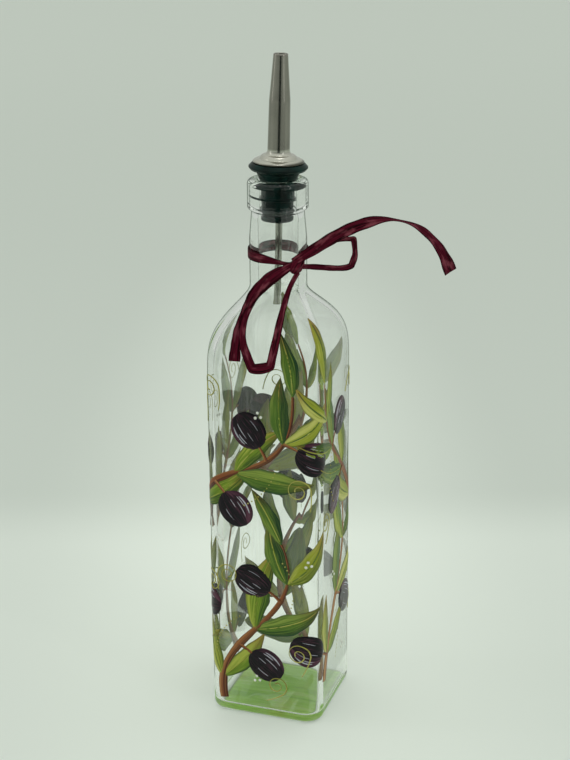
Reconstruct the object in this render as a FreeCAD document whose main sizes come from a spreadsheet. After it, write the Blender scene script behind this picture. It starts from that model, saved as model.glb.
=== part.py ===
import FreeCAD, Part
import math
import os
import Sketcher

# Square glass oil bottle with a metal pourer in its mouth and a raffia bow round its neck.
# Millimetres, +Z up, origin under the middle of the base, front face towards -Y.

SIZES = {
    # glass, outside
    "body_side": 56.0,
    "corner_round": 8.8,
    "heel_round": 3.5,
    "shoulder_start": 170.0,
    "shoulder_rise": 42.0,
    "neck_radius": 13.2,
    "neck_rise": 22.0,
    "collar_radius": 12.1,
    "collar_rise": 13.4,
    "ring_radius": 13.9,
    "ring_height": 14.0,
    "ring_round": 2.2,
    "ring_foot_round": 1.6,
    "punt_radius": 20.0,
    "punt_depth": 0.8,
    # glass, inside
    "wall": 2.8,
    "floor_height": 2.8,
    "floor_round": 3.0,
    "inner_drop": 2.0,
    "neck_bore_radius": 9.3,
    "mouth_bore_radius": 8.5,
    "bore_step": 4.0,
    "mouth_flare": 1.5,
    # pourer, heights measured from the middle of its grip in the bore
    "pourer_seat": 5.5,
    "pourer_lean": 1.8,
    "grip_clearance": 0.3,
    "metal_clearance": 0.05,
    "plug_bottom": 13.5,
    "plug_top": 10.6,
    "plug_radius": 7.3,
    "plug_round": 0.7,
    "waist_radius": 6.6,
    "core_radius": 7.1,
    "upper_core_radius": 7.6,
    "core_step": 0.2,
    "low_fin": 9.0,
    "mid_fin": 2.8,
    "top_fin": 2.2,
    "fin_thick": 1.1,
    "stem_bottom": 5.6,
    "stem_radius": 8.8,
    "stem_cone": 1.0,
    "stem_taper": 0.7,
    "stem_lip_radius": 9.75,
    "stem_lip_deep": 1.7,
    "stem_lip_edge": 0.4,
    "flange_bottom": 9.4,
    "flange_bottom_radius": 12.4,
    "flange_rim": 11.1,
    "flange_rim_deep": 0.5,
    "flange_radius": 13.45,
    "flange_top": 12.7,
    "dome_radius": 11.6,
    "dome_margin": 0.3,
    "dome_edge": 0.7,
    "dome_rise": 3.7,
    "dome_shoulder_radius": 6.6,
    "spout_foot": 18.4,
    "spout_foot_radius": 5.05,
    "spout_knee": 40.6,
    "spout_knee_radius": 4.75,
    "spout_tip": 60.9,
    "spout_tip_radius": 3.25,
    "sheet_thick": 0.5,
    "liner_bottom": 10.0,
    "breather_radius": 1.65,
    "breather_wall": 0.4,
    "breather_bottom": 54.8,
    "breather_top": 17.0,
    # raffia
    "band_rise": 14.3,
    "band_width": 5.4,
    "band_thick": 0.7,
    "band_clearance": 0.15,
    "tail_width": 5.4,
    "loop_width": 3.4,
    "ribbon_thick": 0.6,
    "knot_turn": 50.6,
    "knot_drop": 1.6,
    "knot_across": 4.3,
    "knot_deep": 3.2,
    "knot_tall": 4.6,
    "knot_sink": 1.2,
}

# Heights of the loft sections, as shares of the shoulder's rise.
SHOULDER_STEPS = (0.0, 0.12, 0.28, 0.44, 0.58, 0.70, 0.80, 0.90, 1.0)
# A section's width falls as (1 - step ** rise power) ** fall power,
# and its rounding grows as step ** round power.
SHOULDER_RISE_POWER = 4
SHOULDER_FALL_POWER = 2.0
SECTION_ROUND_POWER = 2
# The top section keeps short flats, so that every section has the same eight edges.
LEAST_FLAT = 0.15
# Turned pieces run on this far into the shoulder, and start this much narrower there.
JOIN_DEPTH = 1.0
JOIN_STEP = 0.4
# A foot edge lies no higher than this over its block's bottom.
EDGE_SLACK = 0.01
# Shapes of the fins, in half thicknesses: the low fin's edge and root, the top fin's edge and root.
LOW_FIN_EDGE = 0.5
LOW_FIN_ROOT = 2.5
TOP_FIN_EDGE = 1.6
TOP_FIN_ROOT = 0.6
# Radii of the dome's crown and of its sweep up to the spout, in dome rises.
DOME_CROWN = 1.9
DOME_SWEEP = 0.62

# Routes of the free lengths of raffia, from the knot outwards, by the points where their runs meet.
RAFFIA_ROUTES = {
    "raffia_tail_right": [
        (11.2, -11.9, 226.4), (16.8, -12.1, 230.1), (23.4, -11.4, 234.6), (30.1, -10.1, 239.1),
        (37.2, -8.6, 243.0), (44.7, -6.7, 245.9), (52.5, -4.4, 247.2), (60.1, -1.8, 246.0),
        (66.7, 1.2, 242.4), (72.1, 4.0, 236.6), (76.1, 6.6, 229.6), (78.5, 8.8, 221.8),
    ],
    "raffia_tail_left": [
        (10.8, -12.2, 225.0), (5.3, -15.8, 222.0), (-0.4, -17.7, 217.8), (-5.1, -19.1, 212.4),
        (-8.3, -21.5, 206.4), (-10.3, -25.6, 200.8), (-11.1, -29.8, 194.4), (-11.1, -32.6, 187.4),
        (-10.8, -33.6, 183.6),
    ],
    "raffia_loop_right": [
        (12.3, -10.4, 224.0), (17.2, -8.8, 223.8), (23.5, -7.1, 223.1), (29.7, -5.3, 222.8),
        (34.6, -3.8, 224.6), (37.0, -3.0, 228.4), (37.2, -3.0, 232.6), (34.8, -3.5, 235.6),
        (30.8, -4.3, 235.4), (25.7, -5.1, 232.8), (20.4, -6.2, 229.8), (15.3, -7.6, 227.4),
        (12.4, -9.4, 226.2),
    ],
    "raffia_loop_left": [
        (13.4, -11.8, 221.6), (11.8, -14.6, 216.6), (10.0, -18.5, 209.4), (9.0, -23.7, 202.4),
        (8.1, -28.2, 195.4), (6.9, -31.1, 189.0), (5.8, -32.3, 184.9), (3.6, -33.2, 181.6),
        (0.1, -33.6, 181.0), (-3.0, -32.8, 183.1), (-4.9, -31.5, 187.0), (-6.6, -29.2, 191.4),
        (-8.2, -26.4, 196.4), (-8.7, -22.4, 202.0), (-7.0, -17.8, 207.6), (-3.0, -15.6, 213.2),
        (2.6, -15.0, 218.2), (6.8, -13.8, 222.2), (10.6, -11.4, 224.0),
    ],
}
# Outward directions that the flat side of each ribbon faces, or that its width follows.
FACES_OUT = (0.1, -0.9, 0.42)
FACES_FRONT = (0.25, -0.97, 0.0)
# A point's arc takes this share of the shorter of its two runs.
ARC_SHARE = 0.45


class Size:
    """A length that is known both as a number and as an expression of the sheet's cells."""

    def __init__(self, number, text):
        self.number = number
        self.text = text

    @staticmethod
    def of(value):
        if isinstance(value, Size):
            return value
        return Size(float(value), repr(float(value)))

    def join(self, other, sign, number):
        return Size(number, "(" + self.text + " " + sign + " " + Size.of(other).text + ")")

    def __add__(self, other):
        return self.join(other, "+", self.number + Size.of(other).number)

    def __sub__(self, other):
        return self.join(other, "-", self.number - Size.of(other).number)

    def __mul__(self, other):
        return self.join(other, "*", self.number * Size.of(other).number)

    def __truediv__(self, other):
        return self.join(other, "/", self.number / Size.of(other).number)

    def __neg__(self):
        return Size(-self.number, "(0 - " + self.text + ")")

    def least(self, other):
        """The smaller of two lengths."""
        return Size(min(self.number, other.number), "min(" + self.text + "; " + other.text + ")")


doc = FreeCAD.newDocument("OilBottle")
sheet = doc.addObject("Spreadsheet::Sheet", "Sizes")
for row, (alias, amount) in enumerate(SIZES.items(), start=1):
    sheet.set("A%d" % row, alias)
    sheet.set("B%d" % row, str(amount))
    sheet.setAlias("B%d" % row, alias)
doc.recompute()


def size(alias):
    """The driving dimension with this alias."""
    return Size(float(sheet.get(alias)), "Sizes." + alias)


def origin_plane(body, role):
    """One of the body's own origin planes."""
    for feature in body.Origin.OriginFeatures:
        if feature.Role == role:
            return feature
    raise ValueError(role)


def new_sketch(body, name, role, height=None):
    """A sketch on an origin plane of its body, lifted along its normal when a height is given."""
    sketch = body.newObject("Sketcher::SketchObject", name)
    sketch.AttachmentSupport = [(origin_plane(body, role), "")]
    sketch.MapMode = "FlatFace"
    if height is not None:
        sketch.setExpression("AttachmentOffset.Base.z", height.text)
    return sketch


def bind(sketch, kind, places, value):
    """Add one dimension to the sketch and tie it to the sheet."""
    index = sketch.addConstraint(Sketcher.Constraint(kind, *places, value.number))
    sketch.setExpression("Constraints[%d]" % index, value.text)


def arc_between(start, end, radius):
    """The arc from start to end: a positive radius bulges to the right of the way."""
    chord = end - start
    half = chord.Length / 2
    reach = math.sqrt(max(radius * radius - half * half, 0.0))
    left = FreeCAD.Vector(-chord.y, chord.x, 0).normalize()
    side = 1 if radius > 0 else -1
    centre = start + chord * 0.5 + left * (reach * side)
    crown = centre - left * (abs(radius) * side)
    return Part.Arc(start, crown, end)


def closed_outline(sketch, corners):
    """Draw a closed outline of corners (across, up) or (across, up, radius of the arc that follows)."""
    points = [FreeCAD.Vector(Size.of(c[0]).number, Size.of(c[1]).number, 0) for c in corners]
    ends = []
    for index, corner in enumerate(corners):
        start = points[index]
        end = points[(index + 1) % len(points)]
        if len(corner) == 3:
            arc = arc_between(start, end, Size.of(corner[2]).number)
            edge = sketch.addGeometry(arc, False)
            far = (sketch.getPoint(edge, 1) - start).Length
            near = (sketch.getPoint(edge, 2) - start).Length
            ends.append((edge, 2, 1) if far > near else (edge, 1, 2))
        else:
            edge = sketch.addGeometry(Part.LineSegment(start, end), False)
            ends.append((edge, 1, 2))
    for index, corner in enumerate(corners):
        edge, first, last = ends[index]
        following = ends[(index + 1) % len(ends)]
        sketch.addConstraint(Sketcher.Constraint("Coincident", edge, last, following[0], following[1]))
        for place, kind, axis in ((corner[0], "DistanceX", -2), (corner[1], "DistanceY", -1)):
            if Size.of(place).number == 0.0:
                sketch.addConstraint(Sketcher.Constraint("PointOnObject", edge, first, axis))
            else:
                bind(sketch, kind, (-1, 1, edge, first), Size.of(place))
        if len(corner) == 3:
            radius = Size.of(corner[2])
            bind(sketch, "Radius", (edge,), radius if radius.number > 0 else -radius)


def rounded_square(sketch, half, rounding):
    """Draw a square about the origin with rounded corners, as eight edges."""
    flat = half - rounding
    closed_outline(sketch, [
        (half, -flat), (half, flat, rounding),
        (flat, half), (-flat, half, rounding),
        (-half, flat), (-half, -flat, rounding),
        (-flat, -half), (flat, -half, rounding),
    ])


def feature(body, kind, name, sketch):
    """A PartDesign feature of the body made from a sketch."""
    made = body.newObject("PartDesign::" + kind, name)
    made.Profile = sketch
    sketch.Visibility = False
    return made


def revolve(body, kind, name, sketch):
    """Turn a sketch fully about its own vertical axis, as a Revolution or a Groove."""
    made = feature(body, kind, name, sketch)
    made.ReferenceAxis = (sketch, ["V_Axis"])
    made.Angle = 360
    return made


def round_edges(body, name, base, radius, wanted):
    """Fillet the edges of the base feature that the test picks out."""
    doc.recompute()
    names = ["Edge%d" % (i + 1) for i, edge in enumerate(base.Shape.Edges) if wanted(edge)]
    fillet = body.newObject("PartDesign::Fillet", name)
    fillet.Base = (base, names)
    fillet.setExpression("Radius", radius.text)
    return fillet


def square_bubble(body, prefix, bottom, top_start, rise, half, rounding, top_radius, bottom_round):
    """A block with a rounded foot, and on it a shoulder lofted from square to round."""
    foot = new_sketch(body, prefix + "_foot", "XY_Plane", bottom)
    rounded_square(foot, half, rounding)
    block = feature(body, "Pad", prefix + "_block", foot)
    block.setExpression("Length", (top_start - bottom).text)
    round_edges(body, prefix + "_foot_round", block, bottom_round,
                lambda edge: edge.BoundBox.ZMax < bottom.number + EDGE_SLACK)
    sections = []
    for index, step in enumerate(SHOULDER_STEPS):
        width_share = (1 - step ** SHOULDER_RISE_POWER) ** SHOULDER_FALL_POWER
        section_half = top_radius + (half - top_radius) * width_share
        round_share = step ** SECTION_ROUND_POWER
        section_round = rounding + (top_radius - LEAST_FLAT - rounding) * round_share
        section = new_sketch(body, "%s_section_%d" % (prefix, index), "XY_Plane", top_start + rise * step)
        rounded_square(section, section_half, section_round)
        section.Visibility = False
        sections.append(section)
    shoulder = feature(body, "AdditiveLoft", prefix + "_shoulder", sections[0])
    shoulder.Sections = [(section, [""]) for section in sections[1:]]
    shoulder.Ruled = False
    return shoulder


def glass():
    """The bottle: the outer form with neck and lip ring, less the bubble inside it."""
    half = size("body_side") / 2
    shoulder_top = size("shoulder_start") + size("shoulder_rise")
    neck_top = shoulder_top + size("neck_rise")
    ring_bottom = neck_top + size("collar_rise")
    ring_top = ring_bottom + size("ring_height")
    ring_radius = size("ring_radius")
    ring_round = size("ring_round")
    foot_round = size("ring_foot_round")

    outer = doc.addObject("PartDesign::Body", "outer_form")
    square_bubble(outer, "outer", Size.of(0), size("shoulder_start"), size("shoulder_rise"),
                  half, size("corner_round"), size("neck_radius"), size("heel_round"))
    neck = new_sketch(outer, "outer_neck", "XZ_Plane")
    closed_outline(neck, [
        (0, shoulder_top - JOIN_DEPTH), (size("neck_radius") - JOIN_STEP, shoulder_top - JOIN_DEPTH),
        (size("neck_radius"), shoulder_top), (size("neck_radius"), neck_top),
        (size("collar_radius"), ring_bottom - 1), (size("collar_radius"), ring_bottom),
        (ring_radius - foot_round, ring_bottom, foot_round), (ring_radius, ring_bottom + foot_round),
        (ring_radius, ring_top - ring_round, ring_round), (ring_radius - ring_round, ring_top),
        (0, ring_top),
    ])
    revolve(outer, "Revolution", "outer_neck_turn", neck)
    punt = new_sketch(outer, "punt_outline", "XZ_Plane")
    crown = size("punt_depth")
    reach = size("punt_radius")
    dome_radius = (reach * reach + crown * crown) / (crown * 2)
    closed_outline(punt, [(0, -1), (reach, -1), (reach, 0, dome_radius), (0, crown)])
    revolve(outer, "Groove", "punt", punt)

    inner = doc.addObject("PartDesign::Body", "inner_form")
    wall = size("wall")
    inner_start = size("shoulder_start") - size("inner_drop")
    bore_radius = size("neck_bore_radius")
    mouth_radius = size("mouth_bore_radius")
    flare = size("mouth_flare")
    square_bubble(inner, "inner", size("floor_height"), inner_start, size("shoulder_rise"),
                  half - wall, size("corner_round") - wall, bore_radius, size("floor_round"))
    bore = new_sketch(inner, "inner_bore", "XZ_Plane")
    inner_top = inner_start + size("shoulder_rise")
    closed_outline(bore, [
        (0, inner_top - JOIN_DEPTH), (bore_radius - JOIN_STEP, inner_top - JOIN_DEPTH),
        (bore_radius, inner_top), (bore_radius, ring_bottom - size("bore_step")),
        (mouth_radius, ring_bottom), (mouth_radius, ring_top - flare, -flare),
        (mouth_radius + flare, ring_top), (mouth_radius + flare, ring_top + 1), (0, ring_top + 1),
    ])
    revolve(inner, "Revolution", "inner_bore_turn", bore)

    bottle = doc.addObject("Part::Cut", "bottle_glass")
    bottle.Base = outer
    bottle.Tool = inner
    return bottle


def pourer_body(name):
    """A body whose own origin is the middle of the pourer's grip, leaning a little in the mouth."""
    body = doc.addObject("PartDesign::Body", name)
    mouth_top = (size("shoulder_start") + size("shoulder_rise") + size("neck_rise")
                 + size("collar_rise") + size("ring_height"))
    body.Placement.Rotation = FreeCAD.Rotation(FreeCAD.Vector(0, 1, 0), size("pourer_lean").number)
    body.setExpression("Placement.Base.z", (mouth_top - size("pourer_seat")).text)
    body.setExpression("Placement.Rotation.Angle", size("pourer_lean").text)
    return body


def bore_at(height):
    """The radius of the bore's cone under the lip ring, at a height on the pourer."""
    wide = size("neck_bore_radius")
    above_step = size("ring_height") + size("bore_step") - size("pourer_seat") + height
    return wide + (size("mouth_bore_radius") - wide) * (above_step / size("bore_step"))


def stopper():
    """The bored stopper: an end plug, three fins that grip the bore, a stem and a wide sloped flange."""
    body = pourer_body("stopper")
    liner = size("spout_foot_radius") + size("metal_clearance")
    way = size("spout_foot_radius") - size("sheet_thick")
    clearance = size("grip_clearance")
    fin = size("mouth_bore_radius") - clearance
    half_fin = size("fin_thick") / 2
    low = -size("low_fin")
    low_fin = bore_at(low - half_fin).least(size("mouth_bore_radius")) - clearance
    middle = -size("mid_fin")
    top = size("top_fin")
    plug = size("plug_radius")
    plug_round = size("plug_round")
    core = size("core_radius")
    upper = size("upper_core_radius")
    stem = size("stem_bottom")
    stem_radius = size("stem_radius")
    lip = size("stem_lip_radius")
    lip_edge = size("stem_lip_edge")
    flange = size("flange_bottom")
    outline = new_sketch(body, "stopper_outline", "XZ_Plane")
    closed_outline(outline, [
        (way, -size("plug_bottom")), (plug - plug_round, -size("plug_bottom"), plug_round),
        (plug, plug_round - size("plug_bottom")), (plug, -size("plug_top")),
        (size("waist_radius"), -size("plug_top")), (size("waist_radius"), low - half_fin),
        (low_fin, low - half_fin * LOW_FIN_EDGE), (low_fin, low + half_fin * LOW_FIN_EDGE),
        (core, low + half_fin * LOW_FIN_ROOT), (upper - size("core_step"), middle - half_fin),
        (fin, middle - half_fin), (fin, middle + half_fin), (upper, middle + half_fin),
        (upper, top - half_fin * TOP_FIN_ROOT), (fin, top - half_fin * TOP_FIN_EDGE),
        (fin, top + half_fin), (stem_radius - size("stem_taper"), stem - size("stem_cone")),
        (stem_radius, stem), (lip - lip_edge / 2, flange - size("stem_lip_deep")),
        (lip, flange - size("stem_lip_deep") + lip_edge), (lip, flange - lip_edge * 2),
        (lip - lip_edge, flange - lip_edge), (lip - lip_edge, flange),
        (size("flange_bottom_radius"), flange),
        (size("flange_radius"), size("flange_rim") - size("flange_rim_deep")),
        (size("flange_radius"), size("flange_rim")),
        (size("dome_radius") + size("dome_margin"), size("flange_top")), (liner, size("flange_top")),
        (liner, -size("liner_bottom")), (way, -size("liner_bottom")),
    ])
    revolve(body, "Revolution", "stopper_turn", outline)
    return body


def spout():
    """The sheet-steel spout: a tapered tube on a low dome, and a liner down through the stopper."""
    body = pourer_body("spout")
    sheet_thick = size("sheet_thick")
    foot = size("spout_foot_radius")
    base = size("flange_top")
    edge = size("dome_radius")
    brow = size("dome_shoulder_radius")
    knee = size("spout_knee_radius")
    tip = size("spout_tip_radius")
    crown = base + size("dome_rise")
    outline = new_sketch(body, "spout_outline", "XZ_Plane")
    closed_outline(outline, [
        (foot - sheet_thick, -size("liner_bottom")), (foot, -size("liner_bottom")), (foot, base),
        (edge, base), (edge, base + size("dome_edge"), size("dome_rise") * DOME_CROWN),
        (brow, crown, -size("dome_rise") * DOME_SWEEP), (foot, size("spout_foot")),
        (knee, size("spout_knee")), (tip, size("spout_tip")), (tip - sheet_thick, size("spout_tip")),
        (knee - sheet_thick, size("spout_knee")), (foot - sheet_thick, size("spout_foot")),
    ])
    revolve(body, "Revolution", "spout_turn", outline)
    return body


def breather():
    """The thin air tube, held against the back of the spout's liner and hanging into the neck."""
    body = pourer_body("breather_tube")
    outer = size("breather_radius")
    set_back = size("spout_foot_radius") - size("sheet_thick") - outer - size("metal_clearance")
    ring = new_sketch(body, "breather_ring", "XY_Plane", -size("breather_bottom"))
    for radius in (outer, outer - size("breather_wall")):
        circle = ring.addGeometry(Part.Circle(FreeCAD.Vector(0, set_back.number, 0),
                                              FreeCAD.Vector(0, 0, 1), radius.number), False)
        ring.addConstraint(Sketcher.Constraint("PointOnObject", circle, 3, -2))
        bind(ring, "DistanceY", (-1, 1, circle, 3), set_back)
        bind(ring, "Radius", (circle,), radius)
    pad = feature(body, "Pad", "breather_pad", ring)
    pad.setExpression("Length", (size("breather_bottom") + size("breather_top")).text)
    return body


def band_height():
    """The height of the middle of the band."""
    return size("shoulder_start") + size("shoulder_rise") + size("band_rise")


def band():
    """The raffia wound once round the neck."""
    body = doc.addObject("PartDesign::Body", "raffia_band")
    inside = size("neck_radius") + size("band_clearance")
    outside = inside + size("band_thick")
    low = band_height() - size("band_width") / 2
    high = band_height() + size("band_width") / 2
    outline = new_sketch(body, "band_outline", "XZ_Plane")
    closed_outline(outline, [(inside, low), (outside, low), (outside, high), (inside, high)])
    revolve(body, "Revolution", "band_turn", outline)
    return body


def knot():
    """The knot: a pulled-tight lump that sits against the band, hollowed to its curve."""
    lump = doc.addObject("Part::Ellipsoid", "knot_lump")
    lump.setExpression("Radius1", size("knot_tall").text)
    lump.setExpression("Radius2", size("knot_deep").text)
    lump.setExpression("Radius3", size("knot_across").text)
    lump.Angle1 = -90
    lump.Angle2 = 90
    lump.Angle3 = 360
    outside = size("neck_radius") + size("band_clearance") + size("band_thick")
    distance = outside + size("knot_deep") - size("knot_sink")
    turn = math.radians(size("knot_turn").number)
    lump.Placement = FreeCAD.Placement(
        FreeCAD.Vector(distance.number * math.sin(turn), -distance.number * math.cos(turn),
                       (band_height() - size("knot_drop")).number),
        FreeCAD.Rotation(FreeCAD.Vector(0, 0, 1), size("knot_turn").number - 90))
    seat = doc.addObject("Part::Cylinder", "knot_seat")
    seat.setExpression("Radius", outside.text)
    seat.setExpression("Height", (size("knot_tall") * 4).text)
    seat.setExpression("Placement.Base.z", (band_height() - size("knot_tall") * 2).text)
    cut = doc.addObject("Part::Cut", "raffia_knot")
    cut.Base = lump
    cut.Tool = seat
    return cut


def route_wire(name, points):
    """Straight runs joined by tangent arcs, each arc as large as its two runs allow."""
    corners = [FreeCAD.Vector(*point) for point in points]
    edges = []
    radii = []
    start = corners[0]
    for before, corner, after in zip(corners, corners[1:], corners[2:]):
        back = before - corner
        ahead = after - corner
        half_turn = (math.pi - back.getAngle(ahead)) / 2
        reach = ARC_SHARE * min(back.Length, ahead.Length)
        radii.append(reach / math.tan(half_turn))
        enter = corner + back.normalize() * reach
        leave = corner + ahead.normalize() * reach
        bisector = (back + ahead).normalize()
        crown = corner + bisector * (radii[-1] / math.cos(half_turn) - radii[-1])
        edges.append(Part.LineSegment(start, enter).toShape())
        edges.append(Part.Arc(enter, crown, leave).toShape())
        start = leave
    edges.append(Part.LineSegment(start, corners[-1]).toShape())
    wire = Part.Wire(edges)
    print("%s: length %.1f mm, arc radii %s" % (name, wire.Length, ", ".join("%.1f" % r for r in radii)))
    return wire


def ribbon(name, points, upright, wide_along_upright):
    """A flat ribbon swept along its route, with what lies in the knot cut off."""
    wire = route_wire(name, points)
    forward = (FreeCAD.Vector(*points[1]) - FreeCAD.Vector(*points[0])).normalize()
    up = FreeCAD.Vector(*upright)
    side = forward.cross(up).normalize()
    up = side.cross(forward).normalize()
    width = size("loop_width" if "loop" in name else "tail_width").number
    thick = size("ribbon_thick").number
    across, along = (thick, width) if wide_along_upright else (width, thick)
    start = FreeCAD.Vector(*points[0])
    quarters = ((1, 1), (-1, 1), (-1, -1), (1, -1))
    rim = [start + side * (across / 2 * i) + up * (along / 2 * j) for i, j in quarters]
    pipe = Part.BRepOffsetAPI.MakePipeShell(wire)
    pipe.setBiNormalMode(FreeCAD.Vector(*upright))
    pipe.setTransitionMode(0)
    pipe.add(Part.makePolygon(rim + [rim[0]]))
    pipe.build()
    pipe.makeSolid()
    swept = pipe.shape()
    print("%s: volume %.1f against %.1f" % (name, swept.Volume, wire.Length * width * thick))
    trimmed = swept.cut(knot_piece.Shape)
    made = doc.addObject("Part::Feature", name)
    made.Shape = max(trimmed.Solids, key=lambda solid: solid.Volume)
    return made


parts = [glass(), stopper(), spout(), breather(), band(), knot()]
doc.recompute()
knot_piece = parts[-1]
for route_name, route in RAFFIA_ROUTES.items():
    upright = FACES_OUT if route_name.endswith("left") else FACES_FRONT
    parts.append(ribbon(route_name, route, upright, route_name == "raffia_loop_right"))
for piece in parts:
    piece.Label = piece.Name
doc.recompute()

for item in doc.Objects:
    if "Invalid" in item.State or "Error" in item.State:
        raise RuntimeError("%s failed: %s" % (item.Name, item.State))

os.makedirs("parts", exist_ok=True)
for piece in parts:
    shape = piece.Shape
    if shape.isNull() or not shape.isValid() or len(shape.Solids) != 1:
        raise RuntimeError("%s has a bad shape" % piece.Name)
    shape.exportStep("parts/%s.step" % piece.Name)
    print("%s: %.0f mm3" % (piece.Name, shape.Volume))
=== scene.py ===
"""Square glass oil bottle with a steel pourer, a raffia bow and painted olive sprigs.

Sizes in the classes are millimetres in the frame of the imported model: +Z up, front face
towards -Y. They become metres when a mesh is made.
"""

from __future__ import annotations

import logging
import math
from dataclasses import dataclass, field
from enum import Enum

import bpy
import numpy as np
from mathutils import Matrix, Vector

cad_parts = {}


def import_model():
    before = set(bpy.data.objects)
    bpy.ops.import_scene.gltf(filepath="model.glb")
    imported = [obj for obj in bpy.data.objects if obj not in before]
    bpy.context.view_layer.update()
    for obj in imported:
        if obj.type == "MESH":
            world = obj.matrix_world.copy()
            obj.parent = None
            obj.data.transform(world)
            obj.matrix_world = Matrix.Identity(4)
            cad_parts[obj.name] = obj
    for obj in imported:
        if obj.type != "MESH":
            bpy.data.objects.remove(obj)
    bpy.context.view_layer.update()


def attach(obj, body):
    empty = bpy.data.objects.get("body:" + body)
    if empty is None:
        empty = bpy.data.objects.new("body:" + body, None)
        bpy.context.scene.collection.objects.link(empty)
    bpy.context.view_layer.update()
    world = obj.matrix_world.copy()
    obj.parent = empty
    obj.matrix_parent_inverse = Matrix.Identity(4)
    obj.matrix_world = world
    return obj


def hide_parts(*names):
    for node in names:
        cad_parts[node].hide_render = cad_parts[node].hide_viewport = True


LOG = logging.getLogger("oil_bottle")
METRE = 0.001
TURN_STEPS = 128

Colour = tuple[float, float, float]
Point = tuple[float, float, float]


# ---------------------------------------------------------------- shader maths


class Wire:
    """A value on its way through a material; arithmetic on it adds Math nodes."""

    def __init__(self, graph: "Graph", socket: bpy.types.NodeSocket) -> None:
        """Hold one output socket of a graph.

        Args:
            graph: The material's graph.
            socket: The output socket that carries the value.
        """
        self.graph = graph
        self.socket = socket

    def _maths(self, operation: str, first: "Wire | float", second: "Wire | float") -> "Wire":
        """A Math node of two values."""
        return self.graph.node("ShaderNodeMath", {"operation": operation}, {0: first, 1: second})

    def __add__(self, other: "Wire | float") -> "Wire":
        """Sum."""
        return self._maths("ADD", self, other)

    __radd__ = __add__

    def __sub__(self, other: "Wire | float") -> "Wire":
        """Difference."""
        return self._maths("SUBTRACT", self, other)

    def __rsub__(self, other: "Wire | float") -> "Wire":
        """Reflected difference, so that 1 - mask works."""
        return self._maths("SUBTRACT", other, self)

    def __mul__(self, other: "Wire | float") -> "Wire":
        """Product."""
        return self._maths("MULTIPLY", self, other)

    __rmul__ = __mul__

    def __pow__(self, power: float) -> "Wire":
        """Power."""
        return self._maths("POWER", self, power)

    def __abs__(self) -> "Wire":
        """Size without sign."""
        return self._maths("ABSOLUTE", self, 0.0)

    def step(self, low: float, high: float) -> "Wire":
        """A smooth step from 0 at low to 1 at high.

        Args:
            low: The value that gives 0.
            high: The value that gives 1.

        Returns:
            The stepped value.
        """
        return self.graph.node(
            "ShaderNodeMapRange",
            {"interpolation_type": "SMOOTHSTEP", "clamp": True},
            {"Value": self, "From Min": low, "From Max": high, "To Min": 0.0, "To Max": 1.0},
        )


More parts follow.
